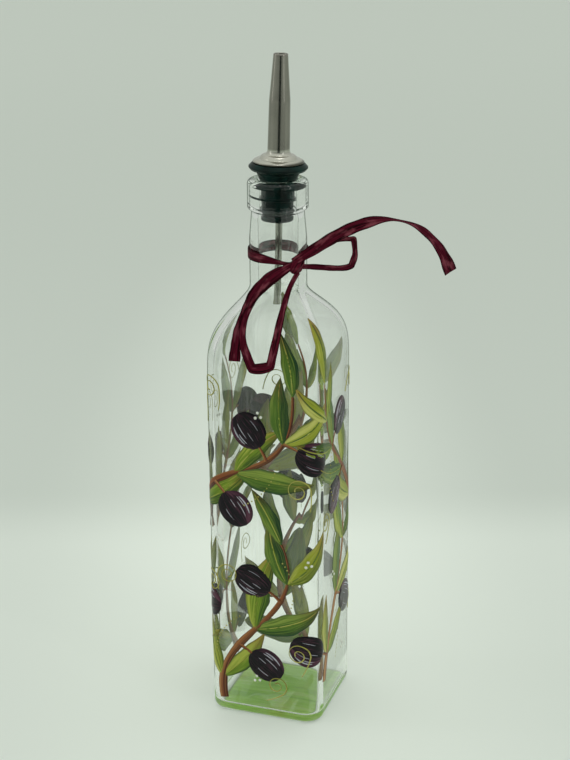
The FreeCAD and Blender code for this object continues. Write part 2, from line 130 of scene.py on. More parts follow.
class Graph:
    """The node tree of one material or world."""

    def __init__(self, name: str, tree: bpy.types.NodeTree | None = None) -> None:
        """Start an empty tree, in a new material unless one is given.

        Args:
            name: The new material's name.
            tree: A tree to fill instead, such as the world's.
        """
        self.material = None
        if tree is None:
            self.material = bpy.data.materials.new(name)
            self.material.use_nodes = True
            tree = self.material.node_tree
        tree.nodes.clear()
        self.tree = tree

    def node(self, kind: str, settings: dict | None = None, sockets: dict | None = None, out: int | str = 0) -> Wire:
        """Add one node: its settings are set first, then its sockets are given values or links.

        Args:
            kind: The node's type.
            settings: Attributes of the node; "stops" fills a colour ramp.
            sockets: Values or wires by input name or index.
            out: The output that the returned wire carries.

        Returns:
            A wire from the node's output.
        """
        made = self.tree.nodes.new(kind)
        for key, value in (settings or {}).items():
            if key == "stops":
                self._fill_ramp(made, value)
            else:
                setattr(made, key, value)
        for key, value in (sockets or {}).items():
            if isinstance(value, Wire):
                self.tree.links.new(value.socket, made.inputs[key])
            else:
                made.inputs[key].default_value = value
        if not len(made.outputs):
            return Wire(self, made.inputs[0])
        return Wire(self, made.outputs[out])

    @staticmethod
    def _fill_ramp(made: bpy.types.Node, stops: list[tuple[float, Colour]]) -> None:
        """Give a ramp its stops."""
        elements = made.color_ramp.elements
        while len(elements) < len(stops):
            elements.new(0.5)
        for element, (place, colour) in zip(elements, stops):
            element.position = place
            element.color = (*colour, 1.0)

    def place(self) -> Wire:
        """Object coordinates."""
        return self.node("ShaderNodeTexCoord", out="Object")

    def chart(self) -> Wire:
        """The piece's own UV map."""
        return self.node("ShaderNodeTexCoord", out="UV")

    def axes(self, vector: Wire) -> tuple[Wire, Wire, Wire]:
        """The three numbers of a vector."""
        first = self.node("ShaderNodeSeparateXYZ", None, {0: vector})
        outputs = first.socket.node.outputs
        return first, Wire(self, outputs[1]), Wire(self, outputs[2])

    def noise(self, where: Wire, scale: float, detail: float = 2.0, distortion: float = 0.0) -> Wire:
        """Smooth noise from 0 to 1.

        Args:
            where: The vector that it is read at.
            scale: Cells per unit of the vector.
            detail: Number of finer octaves.
            distortion: How far the pattern is warped.

        Returns:
            The noise.
        """
        return self.node(
            "ShaderNodeTexNoise", None,
            {"Vector": where, "Scale": scale, "Detail": detail, "Distortion": distortion},
        )

    def fibres(self, x: Wire | float, y: Wire | float, z: Wire | float, detail: float, warp: float = 0.0) -> Wire:
        """Noise read at a vector of three numbers, which stretches it into fibres."""
        return self.noise(self.node("ShaderNodeCombineXYZ", None, {0: x, 1: y, 2: z}), 1.0, detail, warp)

    def ramp(self, share: Wire, stops: list[tuple[float, Colour]]) -> Wire:
        """A colour by a value from 0 to 1."""
        return self.node("ShaderNodeValToRGB", {"stops": stops}, {0: share})

    def blend(self, share: Wire | float, first: Wire | Colour, second: Wire | Colour) -> Wire:
        """Mix two colours.

        Args:
            share: How much of the second is taken.
            first: The colour at 0.
            second: The colour at 1.

        Returns:
            The mixed colour.
        """
        pair = [value if isinstance(value, Wire) else (*value, 1.0) for value in (first, second)]
        return self.node("ShaderNodeMix", {"data_type": "RGBA"}, {0: share, 6: pair[0], 7: pair[1]}, out=2)

    def tone(self) -> Wire:
        """The number that a mesh stores for each of its shells."""
        return self.node("ShaderNodeAttribute", {"attribute_name": "tone"}, out="Fac")

    def bump(self, height: Wire, strength: float, distance: float) -> Wire:
        """A normal from a height.

        Args:
            height: The height, 0 to 1.
            strength: How much of it shows.
            distance: The real height of 1, in metres.

        Returns:
            The bent normal.
        """
        return self.node("ShaderNodeBump", None, {"Strength": strength, "Distance": distance, "Height": height})

    def finish(self, shader: Wire) -> bpy.types.Material:
        """Join the shader to the material's output."""
        self.node("ShaderNodeOutputMaterial", None, {0: shader})
        return self.material

    def surface(self, colour: Wire, rough: Wire, normal: Wire, others: dict | None = None) -> bpy.types.Material:
        """Finish the material as one principled surface.

        Args:
            colour: Its base colour.
            rough: Its roughness.
            normal: Its bent normal.
            others: Numbers or wires for other sockets, by name.

        Returns:
            The material.
        """
        return self.finish(self.node("ShaderNodeBsdfPrincipled", None, {
            "Base Color": colour, "Roughness": rough, "Normal": normal, **(others or {}),
        }))


# ---------------------------------------------------------------- plain sums


def rotated(first: np.ndarray | Wire, second: np.ndarray | Wire, angle: float) -> tuple:
    """Turn a pair by an angle: the first by its cosine less the second by its sine, and the other way about."""
    cosine, sine = np.cos(angle), np.sin(angle)
    return first * cosine - second * sine, first * sine + second * cosine


def ray(degrees: float) -> np.ndarray:
    """The unit vector at an angle from level."""
    return np.array([math.cos(math.radians(degrees)), math.sin(math.radians(degrees))])


def beside(*parts: np.ndarray | float) -> np.ndarray:
    """Numbers and arrays side by side on a new last axis."""
    return np.stack(np.broadcast_arrays(*parts), -1)


def quarter(steps: int) -> np.ndarray:
    """Angles from 0 to a right angle."""
    return np.linspace(0, math.pi / 2, steps)


def unit(vectors: np.ndarray) -> np.ndarray:
    """Rows scaled to length 1."""
    return vectors / np.maximum(np.linalg.norm(vectors, axis=1, keepdims=True), 1e-9)


def dome(v: np.ndarray) -> np.ndarray:
    """The height of a half circle over places from -1 to 1."""
    return np.sqrt(np.maximum(1 - v ** 2, 0))


def there_and_back(first: np.ndarray, second: np.ndarray) -> np.ndarray:
    """Rows that run across the first and return over the second."""
    return np.concatenate([first, second[..., ::-1]], -1)


# ---------------------------------------------------------------- finishes


@dataclass(frozen=True)
class ClearGlass:
    """Soda glass: clear, smooth and faintly green, and lamps shine through it.

    A wall seen at a slant is greener, as the light then goes a long way in it. Above the base such a wall
    also has a dark line mixed in, painted shade for the dark edges of the glass. Light that a wall has already
    turned back a few times goes straight on, so that none is trapped in it.
    """

    index: float = 1.5
    body: Colour = (0.985, 0.995, 0.987)
    rim: Colour = (0.52, 0.60, 0.53)
    rim_slants: tuple[float, float] = (0.70, 0.97)
    # line: the colour of a painted dark edge line, painted shade on slanted walls above the base
    line: Colour = (0.16, 0.22, 0.17)
    edge_shade_slants: tuple[float, float] = (0.66, 0.93)
    edge_shade_strength: float = 0.8
    edge_shade_heights: tuple[float, float] = (0.014, 0.018)
    shade: Colour = (0.93, 0.955, 0.935)
    turns: tuple[float, float] = (2.5, 3.0)
    polish: float = 0.5

    def material(self) -> bpy.types.Material:
        """The glass material."""
        graph = Graph("clear_glass")
        slant = graph.node("ShaderNodeLayerWeight", out="Facing")
        glass = graph.node("ShaderNodeBsdfPrincipled", None, {
            "Base Color": graph.blend(slant.step(*self.rim_slants), self.body, self.rim), "Roughness": 0.0,
            "IOR": self.index, "Transmission Weight": 1.0, "Specular IOR Level": self.polish,
        })
        open_way, dark = (
            graph.node("ShaderNodeBsdfTransparent", None, {0: (*colour, 1.0)}) for colour in (self.shade, self.line)
        )
        lamp = graph.node("ShaderNodeLightPath", out="Is Shadow Ray")
        straight = lamp + Wire(graph, lamp.socket.node.outputs["Glossy Depth"]).step(*self.turns)
        # painted shade: a dark see-through line where a wall above the base is seen at a slant
        walls = graph.axes(graph.place())[2].step(*self.edge_shade_heights)
        edge = slant.step(*self.edge_shade_slants) * walls * self.edge_shade_strength
        edge_shaded = graph.node("ShaderNodeMixShader", None, {0: edge, 1: glass, 2: dark})
        return graph.finish(graph.node("ShaderNodeMixShader", None, {0: straight, 1: edge_shaded, 2: open_way}))


@dataclass(frozen=True)
class DarkPlastic:
    """Moulded stopper plastic: near black with a green cast and a soft shine."""

    name: str = "stopper_plastic"
    deep: Colour = (0.0002, 0.0056, 0.0044)
    worn: Colour = (0.0008, 0.0240, 0.0190)

    def material(self) -> bpy.types.Material:
        """The plastic material, with fine mould grain."""
        graph = Graph(self.name)
        place = graph.place()
        cloud = graph.noise(place, 160.0, 4.0)
        grain = graph.noise(place, 2600.0, 2.0)
        body = graph.blend(cloud.step(0.35, 0.75), self.deep, self.worn)
        return graph.surface(body, 0.28 + cloud * 0.16, graph.bump(grain, 0.25, 0.00006), {"Specular IOR Level": 0.13})


@dataclass(frozen=True)
class SpunSteel:
    """Stainless steel with fine turned lines round the axis and faint smudges; the dome is painted lighter, a
    painted reflection, and a band below the rim's top is painted darker, painted shade.

    The levels are heights in metres: the rim's top, where the painted lighter dome takes over from the painted dark
    band, and where the spout starts.
    """

    name: str = "spout_steel"
    tint: Colour = (0.285, 0.272, 0.24)
    rough: float = 0.16
    line_scale: float = 5200.0
    # dome: painted reflection, a lighter colour for the dome; rim: painted shade, a dark colour for a band below the
    # rim's top
    dome: Colour = (0.52, 0.51, 0.45)
    rim: Colour = (0.09, 0.085, 0.07)
    levels: tuple[float, float, float] = (0.2692, 0.2700, 0.2742)

    def material(self) -> bpy.types.Material:
        """The steel material."""
        graph = Graph(self.name)
        place = graph.place()
        across, along, up = graph.axes(place)
        rings = graph.fibres(across * 60.0, along * 60.0, up * self.line_scale, 3.0)
        smudge = graph.noise(place, 90.0, 4.0, 0.6)
        low, bright, foot = self.levels
        body = graph.blend(smudge.step(0.4, 0.8), self.tint, tuple(0.86 * c for c in self.tint))
        # painted reflection lightens the dome below the spout's foot; painted shade darkens the band below the rim's
        # top
        body = graph.blend(up.step(foot + 0.0012, foot), body, self.dome)
        body = graph.blend(up.step(bright, low) * up.step(low - 0.01, low - 0.009), body, self.rim)
        rough = self.rough + rings * 0.05 + smudge * 0.06
        return graph.surface(body, rough, graph.bump(rings, 0.05, 0.000002), {"Metallic": 1.0})


@dataclass(frozen=True)
class Raffia:
    """Dyed raffia: long fibres, painted shade darkening its edges and painted sheen in long lighter patches, on a dull
    silky face.
    """

    dark: Colour = (0.0050, 0.0002, 0.0008)
    mid: Colour = (0.100, 0.0050, 0.0180)
    # light: the painted sheen colour, also given to lighter threads
    light: Colour = (0.26, 0.062, 0.085)

    def material(self) -> bpy.types.Material:
        """The raffia material; its UV runs along the strip in x, in millimetres, and across it in y."""
        graph = Graph("burgundy_raffia")
        along, across, _ = graph.axes(graph.chart())
        fibre = graph.fibres(along * 0.05, across * 15.0, 0.0, 5.0, 0.3)
        thread = graph.fibres(along * 0.10, across * 60.0, 4.0, 3.0)
        # painted sheen: long lighter patches along the strip; painted shade: its edges darkened where it curls
        sheen_patch = graph.fibres(along * 0.16, across * 2.2, 9.0, 3.0)
        edge = abs(across - 0.5).step(0.36, 0.5)
        body = graph.blend(fibre.step(0.40, 0.52), self.dark, self.mid)
        body = graph.blend(sheen_patch.step(0.48, 0.70) * 0.8, body, self.light)
        body = graph.blend(thread.step(0.58, 0.80) * 0.35, body, self.light)
        body = graph.blend(edge * 0.9, body, self.dark)
        folds = graph.bump(fibre * 0.6 + thread * 0.4, 0.8, 0.0004)
        return graph.surface(body, 0.46 + fibre * 0.18, folds, {"Specular IOR Level": 0.04})


@dataclass(frozen=True)
class Enamel:
    """Brushed glass enamel whose streaks follow the stroke."""

    name: str
    deep: Colour
    mid: Colour
    light: Colour
    edge: Colour
    rough: float = 0.28
    streaks: float = 9.0
    muted: float = 0.0
    haze: Colour = (0.40, 0.44, 0.20)
    tip: Colour | None = None
    # through: how far the underside's colours are raised, painted light for daylight coming through the paint
    through: float = 2.1

    def material(self) -> bpy.types.Material:
        """The enamel; UV x runs along a stroke from 0 to 1 and y across it, and tone differs by stroke."""
        graph = Graph(self.name)
        along, across, _ = graph.axes(graph.chart())
        tone = graph.tone()
        sweep = graph.fibres(along * 1.6, across * self.streaks, tone * 37.0, 4.0, 0.5)
        hair = graph.fibres(along * 2.5, across * self.streaks * 5.0, tone * 91.0, 3.0)
        side = across + (tone - 0.5) * 0.5 + (sweep - 0.5) * 1.5
        body = graph.ramp(side, [(0.10, self.deep), (0.38, self.mid), (0.60, self.mid), (0.88, self.light)])
        body = graph.blend(hair.step(0.52, 0.70) * 0.7, body, self.light)
        body = graph.blend(hair.step(0.47, 0.28) * 0.65, body, self.deep)
        rim = abs(across - 0.5).step(0.34, 0.5)
        body = graph.blend(rim * (0.35 + tone * 0.5), body, self.edge)
        if self.tip is not None:
            body = graph.blend(along.step(0.55, 1.0) * sweep.step(0.35, 0.6) * 0.8, body, self.tip)
        if self.muted > 0.0:
            body = graph.blend(self.muted, body, self.haze)
        hairs = graph.bump(hair * 0.5 + sweep * 0.5, 0.6, 0.00035)
        return graph.surface(body, self.rough + sweep * 0.15, hairs, {"Specular IOR Level": 0.2})

    def seen_from_behind(self) -> "Enamel":
        """The same enamel as its underside shows through the glass: its colours raised by through, painted light for
        the daylight coming through it, and muted toward the haze.
        """
        deep, mid, light, edge = (
            tuple(min(0.85, channel * self.through) for channel in colour)
            for colour in (self.deep, self.mid, self.light, self.edge)
        )
        return Enamel(self.name + "_underside", deep, mid, light, edge, 0.4, self.streaks, 0.34, self.haze, self.tip)


@dataclass(frozen=True)
class BaseWash:
    """Translucent green wash brushed under the base."""

    deep: Colour = (0.29, 0.62, 0.060)
    mid: Colour = (0.50, 0.88, 0.12)
    pale: Colour = (0.74, 0.95, 0.36)
    warm: Colour = (0.64, 0.76, 0.08)
    # thin: painted shade, the greyer colour round the rim of the wash
    thin: Colour = (0.42, 0.52, 0.33)
    brushed: tuple[float, float] = (0.0225, 0.0245)

    def material(self) -> bpy.types.Material:
        """The wash, with long brush streaks across the base, and round its rim a greyer colour, painted shade for the
        rim as seen through the rounded heel.
        """
        graph = Graph("base_wash")
        across, along, _ = graph.axes(graph.place())
        streak = graph.fibres(across * 26.0, along * 190.0, 0.0, 4.0, 0.9)
        cloud = graph.noise(graph.place(), 34.0, 3.0, 0.4)
        body = graph.ramp(streak, [(0.28, self.deep), (0.50, self.mid), (0.72, self.pale)])
        body = graph.blend(cloud.step(0.50, 0.74) * 0.6, body, self.warm)
        body = graph.blend(cloud.step(0.48, 0.24) * 0.5, body, self.pale)
        # painted shade: past the brushed half side the colour turns greyer, round the rim
        for side in (across, along):
            body = graph.blend(abs(side).step(*self.brushed) * 0.9, body, self.thin)
        return graph.surface(body, 0.35 + streak * 0.2, graph.bump(streak, 0.4, 0.0003))


@dataclass(frozen=True)
class StudioFloor:
    """Plain pale paper, painted lighter near the object than behind it as painted light, with a painted pool of light
    that glows behind and under it.
    """

    near: Colour = (0.797, 0.852, 0.797)
    far: Colour = (0.668, 0.720, 0.669)
    beyond: Colour = (0.712, 0.765, 0.711)
    bend: tuple[float, float] = (0.165, 0.26)
    pool: Colour = (0.115, 0.128, 0.108)
    pool_middle: float = 0.25
    pool_size: tuple[float, float] = (0.90, 0.17)

    def material(self, facing: float) -> bpy.types.Material:
        """The paper.

        Args:
            facing: The angle of the camera round the object, in radians.

        Returns:
            The floor material.
        """
        graph = Graph("studio_paper")
        place = graph.place()
        across, along, _ = graph.axes(place)
        depth, side = rotated(along, across, facing)
        fleck = graph.noise(place, 900.0, 2.0)
        back = graph.blend(depth.step(0.5, 2.6), self.far, self.beyond)
        deep, wide = self.pool_size
        reach = ((depth - self.pool_middle) * (1 / deep)) ** 2.0 + (side * (1 / wide)) ** 2.0
        # painted light: the paper is lighter near the object, and its pool glows by emission as a painted pool of light
        return graph.surface(
            graph.blend(depth.step(*self.bend), self.near, back), 0.75 + fleck * 0.1, graph.bump(fleck, 0.1, 0.0001),
            {
                "Emission Color": graph.blend(1 - (reach ** 0.5).step(0.15, 1.0), (0.0, 0.0, 0.0), self.pool),
                "Emission Strength": 1.0, "Specular IOR Level": 0.3,
            },
        )


# ---------------------------------------------------------------- meshes


def net_faces(rows: int, columns: int, rows_close: bool, columns_close: bool) -> np.ndarray:
    """Quads of a net of rows by columns; each joins a point to its neighbours in both directions.

    Args:
        rows: Number of rows.
        columns: Number of points in a row.
        rows_close: Whether the last row joins the first.
        columns_close: Whether the last column joins the first.

    Returns:
        An array of four indices a face.
    """
    i, j = np.meshgrid(
        np.arange(rows if rows_close else rows - 1),
        np.arange(columns if columns_close else columns - 1), indexing="ij",
    )
    below, right = (i + 1) % rows, (j + 1) % columns
    return beside(i * columns + j, i * columns + right, below * columns + right, below * columns + j).reshape(-1, 4)


def linked(name: str, data: bpy.types.ID) -> bpy.types.Object:
    """A new object of some data, in the scene."""
    made = bpy.data.objects.new(name, data)
    bpy.context.scene.collection.objects.link(made)
    return made


def enclosed(points: np.ndarray, faces: np.ndarray) -> float:
    """The signed volume inside a closed mesh: a sixth of the sum of the triple products of its triangles."""
    first, second, third, fourth = (points[faces[:, k]] for k in range(4))
    halves = np.einsum("ij,ij->i", first, np.cross(second, third))
    return float((halves + np.einsum("ij,ij->i", first, np.cross(third, fourth))).sum() / 6.0)


@dataclass
class Shell:
    """A closed net of points with its faces, UV, tone and finish numbers."""

    points: np.ndarray
    faces: np.ndarray
    chart: np.ndarray
    tone: np.ndarray
    finish: np.ndarray

    @classmethod
    def of_rings(cls, rings: np.ndarray, chart: np.ndarray | None = None, ring_closes: bool = False,
                 tone: float = 0.0, finish: np.ndarray | None = None) -> "Shell":
        """Join rings of points into a closed surface, with a pole at each end unless the last meets the first.

        Args:
            rings: Rings by points by three coordinates, in millimetres.
            chart: UV of each ring point, or None for shares of the net.
            ring_closes: Whether the last ring joins the first, as on a tube.
            tone: A number that is the same over the whole shell.
            finish: The finish number of each column of faces, or None for 0.

        Returns:
            The closed shell with its faces outwards.
        """
        rows, columns = rings.shape[:2]
        if chart is None:
            chart = beside(np.linspace(0, 1, rows)[:, None], np.linspace(0, 1, columns))
        column_finish = np.zeros(columns, int) if finish is None else finish
        faces = net_faces(rows, columns, ring_closes, True)
        number = np.tile(column_finish, rows if ring_closes else rows - 1)
        points, uv = rings.reshape(-1, 3), chart.reshape(-1, 2)
        if not ring_closes:
            points = np.vstack([points, rings[0].mean(0), rings[-1].mean(0)])
            uv = np.vstack([uv, chart[0].mean(0), chart[-1].mean(0)])
            step = np.arange(columns)
            right = (step + 1) % columns
            pole, end = rows * columns, (rows - 1) * columns
            faces = np.vstack([
                faces, beside(pole, right, step, step), beside(pole + 1, end + step, end + right, end + right),
            ])
            number = np.concatenate([number, column_finish, column_finish])
        if enclosed(points, faces) < 0:
            faces = faces[:, ::-1]
        return cls(points, faces, uv, np.full(len(points), tone), number)

    @classmethod
    def joined(cls, shells: list["Shell"]) -> "Shell":
        """Several shells as one, side by side."""
        starts = np.cumsum([0] + [len(s.points) for s in shells[:-1]])
        return cls(
            np.vstack([s.points for s in shells]),
            np.vstack([s.faces + start for s, start in zip(shells, starts)]),
            np.vstack([s.chart for s in shells]),
            np.concatenate([s.tone for s in shells]),
            np.concatenate([s.finish for s in shells]),
        )

    def piece(self, name: str, materials: list[bpy.types.Material]) -> bpy.types.Object:
        """Make the shell a mesh object at the origin.

        Args:
            name: The piece's name.
            materials: One material for each finish number.

        Returns:
            The new object, linked to the scene.
        """
        drawn = self.faces
        low, high = drawn[:, 0] == drawn[:, 1], drawn[:, 2] == drawn[:, 3]
        keep = np.ones_like(drawn, bool)
        keep[high, 3] = False
        keep[low, 0] = False
        loops = drawn[keep]
        starts = np.concatenate([[0], np.cumsum(keep.sum(1))[:-1]])
        mesh = bpy.data.meshes.new(name)
        mesh.vertices.add(len(self.points))
        mesh.vertices.foreach_set("co", (self.points * METRE).astype(np.float32).ravel())
        mesh.loops.add(len(loops))
        mesh.loops.foreach_set("vertex_index", loops.astype(np.int32))
        mesh.polygons.add(len(drawn))
        mesh.polygons.foreach_set("loop_start", starts.astype(np.int32))
        for material in materials:
            mesh.materials.append(material)
        mesh.polygons.foreach_set("material_index", self.finish.astype(np.int32))
        mesh.polygons.foreach_set("use_smooth", np.ones(len(drawn), bool))
        layer = mesh.uv_layers.new(name="chart")
        layer.data.foreach_set("uv", self.chart[loops].astype(np.float32).ravel())
        stored = mesh.attributes.new("tone", "FLOAT", "POINT")
        stored.data.foreach_set("value", self.tone.astype(np.float32))
        mesh.update(calc_edges=True)
        mesh.validate()
        LOG.info("%s: %d faces", name, len(drawn))
        return linked(name, mesh)


def softened(outline: np.ndarray, radius: float, steps: int = 5) -> np.ndarray:
    """Round the corners of a closed outline: each becomes a parabola between points a little way along its edges.

    Args:
        outline: Corners by two coordinates.
        radius: How far along its edges a corner is taken back, at most 0.42 of the shorter.
        steps: Points on each rounded corner.

    Returns:
        The rounded outline.
    """
    before, after = np.roll(outline, 1, 0) - outline, np.roll(outline, -1, 0) - outline
    reach = [np.linalg.norm(side, axis=1, keepdims=True) for side in (before, after)]
    cut = np.minimum(radius, 0.42 * np.minimum(*reach))
    start, end = outline + before / reach[0] * cut, outline + after / reach[1] * cut
    t = np.linspace(0, 1, steps)[None, :, None]
    curve = (1 - t) ** 2 * start[:, None] + 2 * t * (1 - t) * outline[:, None] + t ** 2 * end[:, None]
    return curve.reshape(-1, 2)


def turned(outline: np.ndarray, steps: int = TURN_STEPS) -> Shell:
    """Turn a closed outline of (radius, height) about the axis: x and y are the radius by cosine and sine."""
    angle = np.linspace(0, 2 * math.pi, steps, endpoint=False)
    radius, height = outline[:, :1], outline[:, 1:]
    return Shell.of_rings(beside(radius * np.cos(angle), radius * np.sin(angle), height), ring_closes=True)


def eased(values: np.ndarray) -> np.ndarray:
    """Smooth step of shares from 0 to 1: 3 t squared less 2 t cubed."""
    t = np.clip(values, 0, 1)
    return t * t * (3 - 2 * t)


def between(shares: np.ndarray, stops: list[tuple]) -> np.ndarray:
    """Values between stops of (share, value), eased from one stop to the next.

    Args:
        shares: Where the values are wanted.
        stops: Shares in rising order, each with a number or a vector.

    Returns:
        One value or vector for each share.
    """
    places = np.array([stop[0] for stop in stops], float)
    values = np.array([stop[1] for stop in stops], float)
    k = np.clip(np.searchsorted(places, shares, side="right") - 1, 0, len(places) - 2)
    t = eased((shares - places[k]) / (places[k + 1] - places[k]))
    t = t if values.ndim == 1 else t[:, None]
    return values[k] * (1 - t) + values[k + 1] * t


def stand_for(piece: bpy.types.Object, node: str | None = None) -> bpy.types.Object:
    """Let a piece ride on the one body, and stand for a CAD node, whose part is hidden, if it has one."""
    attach(piece, "root")
    if node:
        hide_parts(node)
    return piece


# ---------------------------------------------------------------- bottle


@dataclass(frozen=True)
class BottleForm:
    """The form of one skin of the glass: a rounded square that eases into a round neck."""

    half: float
    corner: float
    rise_start: float
    rise: float
    top_radius: float
    rise_power: float = 4.0
    fall_power: float = 2.0
    least_flat: float = 0.15

    def section(self, height: np.ndarray) -> tuple[np.ndarray, np.ndarray]:
        """Half the side and the corner radius at a height.

        With u the share of the shoulder's rise, the half side is the neck radius and (1 - u^4)^2 of
        what the body is wider, and the corner radius grows with u squared.

        Args:
            height: Heights in millimetres.

        Returns:
            Half sides and corner radii.
        """
        u = np.clip((height - self.rise_start) / self.rise, 0, 1)
        share = (1 - u ** self.rise_power) ** self.fall_power
        half = self.top_radius + (self.half - self.top_radius) * share
        return half, self.corner + (self.top_radius - self.least_flat - self.corner) * u ** 2

    def ring(self, half: np.ndarray, corner: np.ndarray, angle: np.ndarray) -> np.ndarray:
        """Where rays from the axis meet rounded squares.

        A ray within the flat meets it at the half side; past that it meets the corner's circle, whose
        centre lies on the diagonal, at the larger root of the quadratic.

        Args:
            half: Half sides, one a row.
            corner: Corner radii, one a row.
            angle: Directions, one a column.

        Returns:
            Rows by columns by (x, y).
        """
        fold = np.abs((angle + math.pi / 4) % (math.pi / 2) - math.pi / 4)[None, :]
        a, r = half[:, None], np.minimum(corner, half)[:, None]
        inner = a - r
        flat = a / np.cos(fold)
        along = inner * (np.cos(fold) + np.sin(fold))
        under = np.maximum(along ** 2 - 2 * inner ** 2 + r ** 2, 0.0)
        round_part = along + np.sqrt(under)
        distance = np.where(np.tan(fold) * a <= inner, flat, round_part)
        return beside(distance * np.cos(angle), distance * np.sin(angle))

    def spread(self) -> tuple[float, float, float]:
        """The flat's half length, the corner's arc length and a quarter of the way round the body."""
        flat = self.half - self.corner
        arc = math.pi / 2 * self.corner
        return flat, arc, 2 * flat + arc

    def wrap(self, way: np.ndarray, height: np.ndarray, lift: np.ndarray) -> np.ndarray:
        """Bend a flat drawing round the body.

        The way round is measured from the middle of the front face; each quarter is a flat, then half of
        a corner arc at each end. A point is moved out along the surface's normal by its lift.

        Args:
            way: Distance round the body, to the right.
            height: Height.
            lift: Distance out from the glass.

        Returns:
            Points with a last axis of three.
        """
        flat0, arc0, side_way = self.spread()
        turn = np.floor(way / side_way + 0.5)
        local = way - turn * side_way
        side = np.sign(local)
        bend = np.clip((np.abs(local) - flat0) / (arc0 / 2), 0, 1) * math.pi / 4
        across_n, out_n = side * np.sin(bend), np.cos(bend)

        def support(level: np.ndarray) -> np.ndarray:
            """How far out the surface is in the direction of its own level normal."""
            half, corner = self.section(level)
            return (half - corner) * (np.abs(across_n) + out_n) + corner

        half, corner = self.section(height)
        inner = half - corner
        across = np.where(bend > 0, side * inner + corner * across_n, local * inner / flat0)
        out = inner + corner * out_n
        slope = (support(height + 0.05) - support(height - 0.05)) / 0.1
        scale = lift / np.sqrt(1 + slope ** 2)
        x, y = rotated(across + across_n * scale, -(out + out_n * scale), turn * math.pi / 2)
        return beside(x, y, height - slope * scale)


